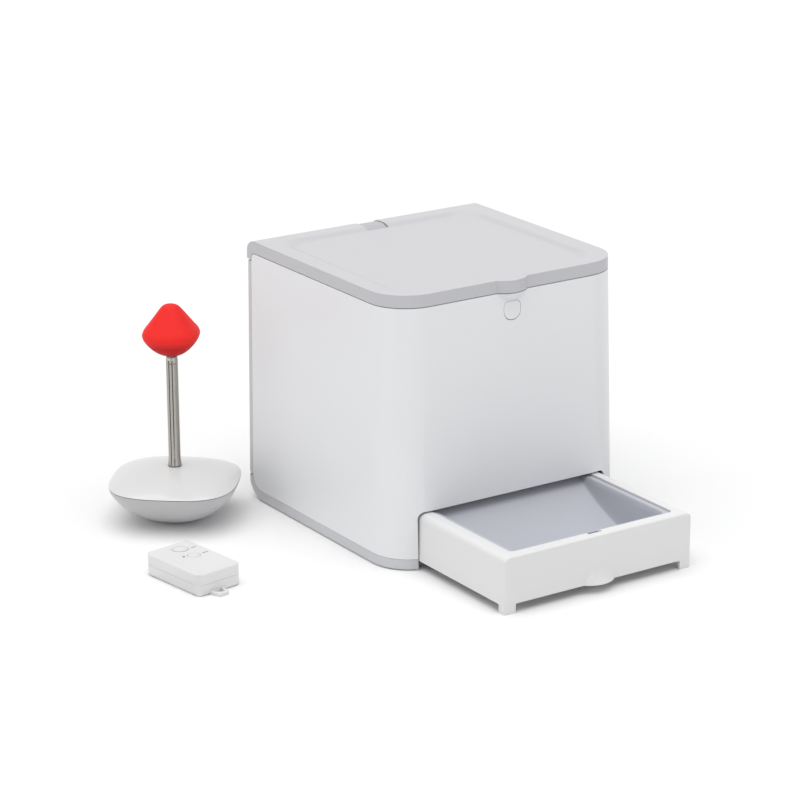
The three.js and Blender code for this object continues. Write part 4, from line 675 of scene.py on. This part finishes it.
def wand_tubes():
    """Polished tubes in each other, and a ferrule under the tip, turned about the wand's upright axis."""
    for name, profile, body, replaced in TURNED_PIECES:
        rings = [rounded_square(radius, ROUND_POWER, z, ROUND_SIDES) for radius, z in profile]
        points, faces = lofted(rings, WAND, ring_shut=True)
        new_piece(name, points, faces, CHROME, body, replaced)


# Soft tip of the wand: (half width, rise) points from its foot to its crown
TIP_BOTTOM = 139.5
TIP_PROFILE = [
    (3.4, 0), (5.6, 0.35), (7.9, 1.15), (11.4, 3.1), (14.7, 5.6), (17.5, 8.4), (19.8, 11.1), (21.5, 13.6),
    (22.45, 15.7), (22.85, 17.4), (22.75, 18.9), (22.1, 20.6), (20.9, 22.5), (17.3, 27.1), (12.75, 33.2),
    (9.2, 38), (7.7, 39.9), (6.3, 41.2), (4.6, 42.05), (2.6, 42.35), (0.8, 42.4),
]
TIP_POWER = 2.6
CROWN_START = 36
CROWN_REACH = 5


def wand_tip():
    """A soft rounded pyramid over a shallow bowl; its crown turns round."""
    rings = []
    for half, rise in smooth_through(TIP_PROFILE, TIP_STEPS):
        crown = min(1, max(0, rise - CROWN_START) / CROWN_REACH)
        power = TIP_POWER - (TIP_POWER - ROUND_POWER) * crown
        rings.append(rounded_square(half, power, TIP_BOTTOM + rise))
    points, faces = lofted(rings, WAND)
    new_piece("wand_soft_tip", points, faces, TIP_SILICONE, "wand_inner", ["wand_tip"])


wand_bottom()
wand_top()
wand_tubes()
wand_tip()


# Hand remote: the seam's tongue and the low marks beside its buttons
REMOTE = turned_place(-246.3, -26.7, 8.5)
REMOTE_HALF_X = 21.2
REMOTE_HALF_Y = 33.8
REMOTE_TOP = 18.3
REMOTE_CORNER = 6
# The tongue's section: inset from the case's side, height
LIP_SECTION = [(0.28, 8.7), (0.28, 9.6), (1.4, 9.6), (1.4, 8.7)]
MARK_WIDTH = 1.2
MARK_PROUD = 0.15
MARK_CROWN = 0.3
# Each mark: name, its middle, its length
REMOTE_MARKS = [("remote_mark_1", 13.7, 16.7, 4.6), ("remote_mark_2", 13.6, 2, 5.8)]

# Menu buttons on the rear panel, with raised signs on their faces
FACING_REAR = Matrix.Rotation(math.pi, 4, "Z") @ Matrix.Rotation(math.pi / 2, 4, "X")
BUTTON_FACE = 113
BUTTON_HEIGHT = 148
BUTTON_SPACING = 26
SIGN_LENGTH = 4.2
SIGN_WIDTH = 1.1
SIGN_PROUD = 0.25
SIGN_CROSS_PROUD = 0.27
SIGN_CROWN = 0.26
DOT_WIDTH = 2
# Each sign: name, its middle, width across and upright, how proud it stands, body
MENU_SIGNS = [
    ("menu_mark_minus", BUTTON_SPACING, SIGN_LENGTH, SIGN_WIDTH, SIGN_PROUD, "menu_button_3"),
    ("menu_mark_dot", 0, DOT_WIDTH, DOT_WIDTH, SIGN_PROUD, "menu_button_2"),
    ("menu_mark_plus_1", -BUTTON_SPACING, SIGN_LENGTH, SIGN_WIDTH, SIGN_PROUD, "menu_button_1"),
    ("menu_mark_plus_2", -BUTTON_SPACING, SIGN_WIDTH, SIGN_LENGTH, SIGN_CROSS_PROUD, "menu_button_1"),
]

# A bar's root below its face, its shoulder's inset and what stays straight at its round ends
BAR_ROOT = 0.3
BAR_SHOULDER = 0.12
BAR_END = 0.01
# Shares of a bar's height at which its side and its shoulder end
SIDE_SHARE = 0.5
SHOULDER_SHARE = 0.85


def rounded_box_ring(half_x, half_y, radius, z, steps=CORNER_STEPS):
    ring = []
    for corner, (sx, sy) in enumerate(((1, 1), (-1, 1), (-1, -1), (1, -1))):
        for k in range(steps + 1):
            turn = math.pi / 2 * (corner + k / steps)
            ring.append((sx * (half_x - radius) + radius * math.cos(turn),
                         sy * (half_y - radius) + radius * math.sin(turn), z))
    return ring


def remote_lip():
    """The tongue that closes the seam between the two halves of the case."""
    rings = [rounded_box_ring(REMOTE_HALF_X - inset, REMOTE_HALF_Y - inset, REMOTE_CORNER - inset, z)
             for inset, z in LIP_SECTION]
    points, faces = lofted(rings, REMOTE, ring_shut=True)
    new_piece("remote_seam_lip", points, faces, REMOTE_WHITE, "remote")


def low_bar(name, length, width, proud, crown, place, material, body):
    """A low bar with round ends and a crowned top, rooted in the face that its place lies on."""
    section = [(0, -BAR_ROOT), (0, proud * SIDE_SHARE), (BAR_SHOULDER, proud * SHOULDER_SHARE),
               (crown, proud)]
    rings = []
    for inset, rise in section:
        radius = min(length, width) / 2 - inset - BAR_END
        rings.append(rounded_box_ring(length / 2 - inset, width / 2 - inset, radius, rise, BAR_STEPS))
    points, faces = lofted(rings, place)
    new_piece(name, points, faces, material, body)


def remote_marks():
    for name, x, y, length in REMOTE_MARKS:
        place = REMOTE @ Matrix.Translation(Vector((x, y, REMOTE_TOP)) * MM)
        low_bar(name, length, MARK_WIDTH, MARK_PROUD, MARK_CROWN, place, MARK_GREY, "remote")


def menu_signs():
    for name, x, across, upright, proud, body in MENU_SIGNS:
        place = Matrix.Translation(Vector((x, BUTTON_FACE, BUTTON_HEIGHT)) * MM) @ FACING_REAR
        low_bar(name, across, upright, proud, SIGN_CROWN, place, ICON_GREY, body)


remote_lip()
remote_marks()
menu_signs()


# Treat bowl: the tray's measures, the bowl's outline and the scoop's floor along the tray
TRAY_FRONT = -222.8
TRAY_TOP = 46.1
RIM_BELOW_TRAY = 1.5
BOWL_TOP = TRAY_TOP - RIM_BELOW_TRAY
BOWL_LOW = 11.9
BOWL_HALF = 77.6
BOWL_FRONT = -213.5
BOWL_REAR = -76.1
BOWL_WALL = 1.5
OPEN_HALF = 72.4
FLOOR_HALF_WIDTH = 62
SCOOP_START = 27
SCOOP_START_RISE = 2.5
SCOOP_MIDDLE = 82
SCOOP_MIDDLE_RISE = 9
SCOOP_REAR = 125
REAR_SLOPE = 0.55
FRONT_WALL_TOP = 13.6
FRONT_WALL_FOOT = 5
FRONT_WALL_DEPTH = 6
FRONT_SLOPE = (BOWL_TOP - BOWL_LOW - FRONT_WALL_FOOT) / FRONT_WALL_DEPTH

# How far the folds between floor, walls and rim are rounded
FLOOR_FOLD = 9
SIDE_FOLD = 7
RIM_FOLD = 1.6

# The finger notch in the rim, and the fineness of the bowl's sheet
NOTCH_HALF = 6.1
NOTCH_REAR = -211.3
BOWL_COLUMNS = 140
BOWL_ROWS = 120
HALVINGS = 30


def soft_max(a, b, reach):
    share = max(reach - abs(a - b), 0) / reach
    return max(a, b) + share * share * reach / 4


def soft_min(a, b, reach):
    return -soft_max(-a, -b, reach)


def along_curve(start, bend, end, t):
    return (1 - t) ** 2 * start + 2 * t * (1 - t) * bend + t * t * end


def height_on_curve(start, bend, end, want):
    """The height of a three-point curve where its first coordinate is want."""
    low, high = 0.0, 1.0
    for _ in range(HALVINGS):
        t = (low + high) / 2
        low, high = (t, high) if along_curve(start[0], bend[0], end[0], t) < want else (low, t)
    return along_curve(start[1], bend[1], end[1], t)


def scoop_height(y):
    along = y - TRAY_FRONT
    start = (SCOOP_START, BOWL_LOW + SCOOP_START_RISE)
    middle = (SCOOP_MIDDLE, BOWL_LOW + SCOOP_MIDDLE_RISE)
    if along <= SCOOP_START:
        floor = start[1]
    elif along >= SCOOP_REAR:
        floor = BOWL_TOP + (along - SCOOP_REAR) * REAR_SLOPE
    else:
        floor = height_on_curve(start, middle, (SCOOP_REAR, BOWL_TOP), along)
    front = BOWL_TOP + (FRONT_WALL_TOP - along) * FRONT_SLOPE
    return soft_max(floor, front, FLOOR_FOLD)


def bowl_height(x, y):
    rise = (BOWL_TOP - BOWL_LOW) / (OPEN_HALF - FLOOR_HALF_WIDTH)
    side = BOWL_LOW + (abs(x) - FLOOR_HALF_WIDTH) * rise
    return soft_min(soft_max(scoop_height(y), side, SIDE_FOLD), BOWL_TOP, RIM_FOLD)


def treat_bowl():
    """One sheet: a flat rim and a scoop whose floor rises to the rear, with soft folds between its walls."""
    xs = [-BOWL_HALF + 2 * BOWL_HALF * i / BOWL_COLUMNS for i in range(BOWL_COLUMNS + 1)]
    ys = [BOWL_FRONT + (BOWL_REAR - BOWL_FRONT) * j / BOWL_ROWS for j in range(BOWL_ROWS + 1)]
    points = [(x * MM, y * MM, bowl_height(x, y) * MM) for y in ys for x in xs]
    faces = []
    for j in range(BOWL_ROWS):
        for i in range(BOWL_COLUMNS):
            middle_x = abs(xs[i] + xs[i + 1]) / 2
            middle_y = (ys[j] + ys[j + 1]) / 2
            if middle_x < NOTCH_HALF and middle_y < NOTCH_REAR:
                continue
            here = j * (BOWL_COLUMNS + 1) + i
            beyond = here + BOWL_COLUMNS + 1
            faces.append((here, here + 1, beyond + 1, beyond))
    piece = new_piece("treat_bowl_liner", points, faces, BOWL_GREY, "tray", ["treat_bowl"],
                      smooth=BOWL_SMOOTH_ANGLE)
    wall = piece.modifiers.new("wall", "SOLIDIFY")
    wall.thickness = BOWL_WALL * MM
    wall.offset = -1


treat_bowl()


# Stage, light and camera
def white_to_the_eye(tree, surface, output):
    """Mixes plain white over a surface for rays that come from the camera, a mirror or glass."""
    path = tree.nodes.new("ShaderNodeLightPath").outputs
    seen = maths(tree, "MAXIMUM", path["Is Camera Ray"], path["Is Glossy Ray"])
    seen = maths(tree, "MAXIMUM", seen, path["Is Transmission Ray"])
    white = add_node(tree, "ShaderNodeBackground", {"Color": (1, 1, 1, 1), "Strength": 1})
    mix = add_node(tree, "ShaderNodeMixShader", {0: seen, 1: surface, 2: white.outputs[0]})
    tree.links.new(mix.outputs[0], output)


def light_the_room():
    world = bpy.data.worlds.new("studio")
    bpy.context.scene.world = world
    world.use_nodes = True
    tree = world.node_tree
    background = tree.nodes["Background"]
    background.inputs["Color"].default_value = (1, 1, 1, 1)
    background.inputs["Strength"].default_value = WORLD_LEVEL
    white_to_the_eye(tree, background.outputs[0], tree.nodes["World Output"].inputs["Surface"])
    for name, source, strength, spread in LAMPS:
        lamp = bpy.data.lights.new(name, "SUN")
        lamp.energy = strength
        lamp.angle = math.radians(spread)
        light = bpy.data.objects.new(name, lamp)
        light.rotation_euler = (-Vector(source)).to_track_quat("-Z", "Y").to_euler()
        bpy.context.scene.collection.objects.link(light)


def stage_sheet(name, corners, material):
    """A flat four-cornered sheet that belongs to the stage."""
    mesh = bpy.data.meshes.new(name)
    mesh.from_pydata(corners, [], [(0, 1, 2, 3)])
    mesh.materials.append(material)
    sheet = bpy.data.objects.new(name, mesh)
    bpy.context.scene.collection.objects.link(sheet)
    return sheet


def lay_the_floor():
    paper, _, shader = new_material("floor_paper")
    shader.inputs["Base Color"].default_value = shaded(FLOOR_COLOUR)
    shader.inputs["Roughness"].default_value = FLOOR_ROUGHNESS
    shader.inputs["Specular IOR Level"].default_value = FLOOR_SPECULAR
    corners = [(-1, -1), (1, -1), (1, 1), (-1, 1)]
    stage_sheet("floor", [(x * FLOOR_HALF, y * FLOOR_HALF, 0) for x, y in corners], paper)


def lay_the_cards():
    black, _, shader = new_material("card_black")
    shader.inputs["Base Color"].default_value = shaded(CARD_TONE)
    shader.inputs["Roughness"].default_value = 1
    for name, (first, last), near, far in DARK_CARDS:
        corners = []
        for degrees, reach in ((first, near), (first, far), (last, far), (last, near)):
            angle = math.radians(degrees)
            x = CARD_CENTRE[0] + reach * math.cos(angle)
            y = CARD_CENTRE[1] + reach * math.sin(angle)
            corners.append((x, y, CARD_RISE))
        card = stage_sheet(name, corners, black)
        card.visible_camera = card.visible_diffuse = card.visible_shadow = False
        card.visible_transmission = False


def place_the_camera():
    lens = bpy.data.cameras.new("camera")
    lens.lens = CAMERA_LENS
    lens.sensor_width = SENSOR_WIDTH
    camera = bpy.data.objects.new("camera", lens)
    turn = Matrix.Rotation(math.radians(CAMERA_TURN), 4, "Z")
    down = Matrix.Rotation(math.radians(90 - CAMERA_DOWN), 4, "X")
    roll = Matrix.Rotation(math.radians(CAMERA_ROLL), 4, "Z")
    camera.matrix_world = Matrix.Translation(CAMERA_PLACE) @ turn @ down @ roll
    bpy.context.scene.collection.objects.link(camera)
    bpy.context.scene.camera = camera
    bpy.context.scene.view_settings.view_transform = "Standard"


light_the_room()
lay_the_floor()
lay_the_cards()
place_the_camera()
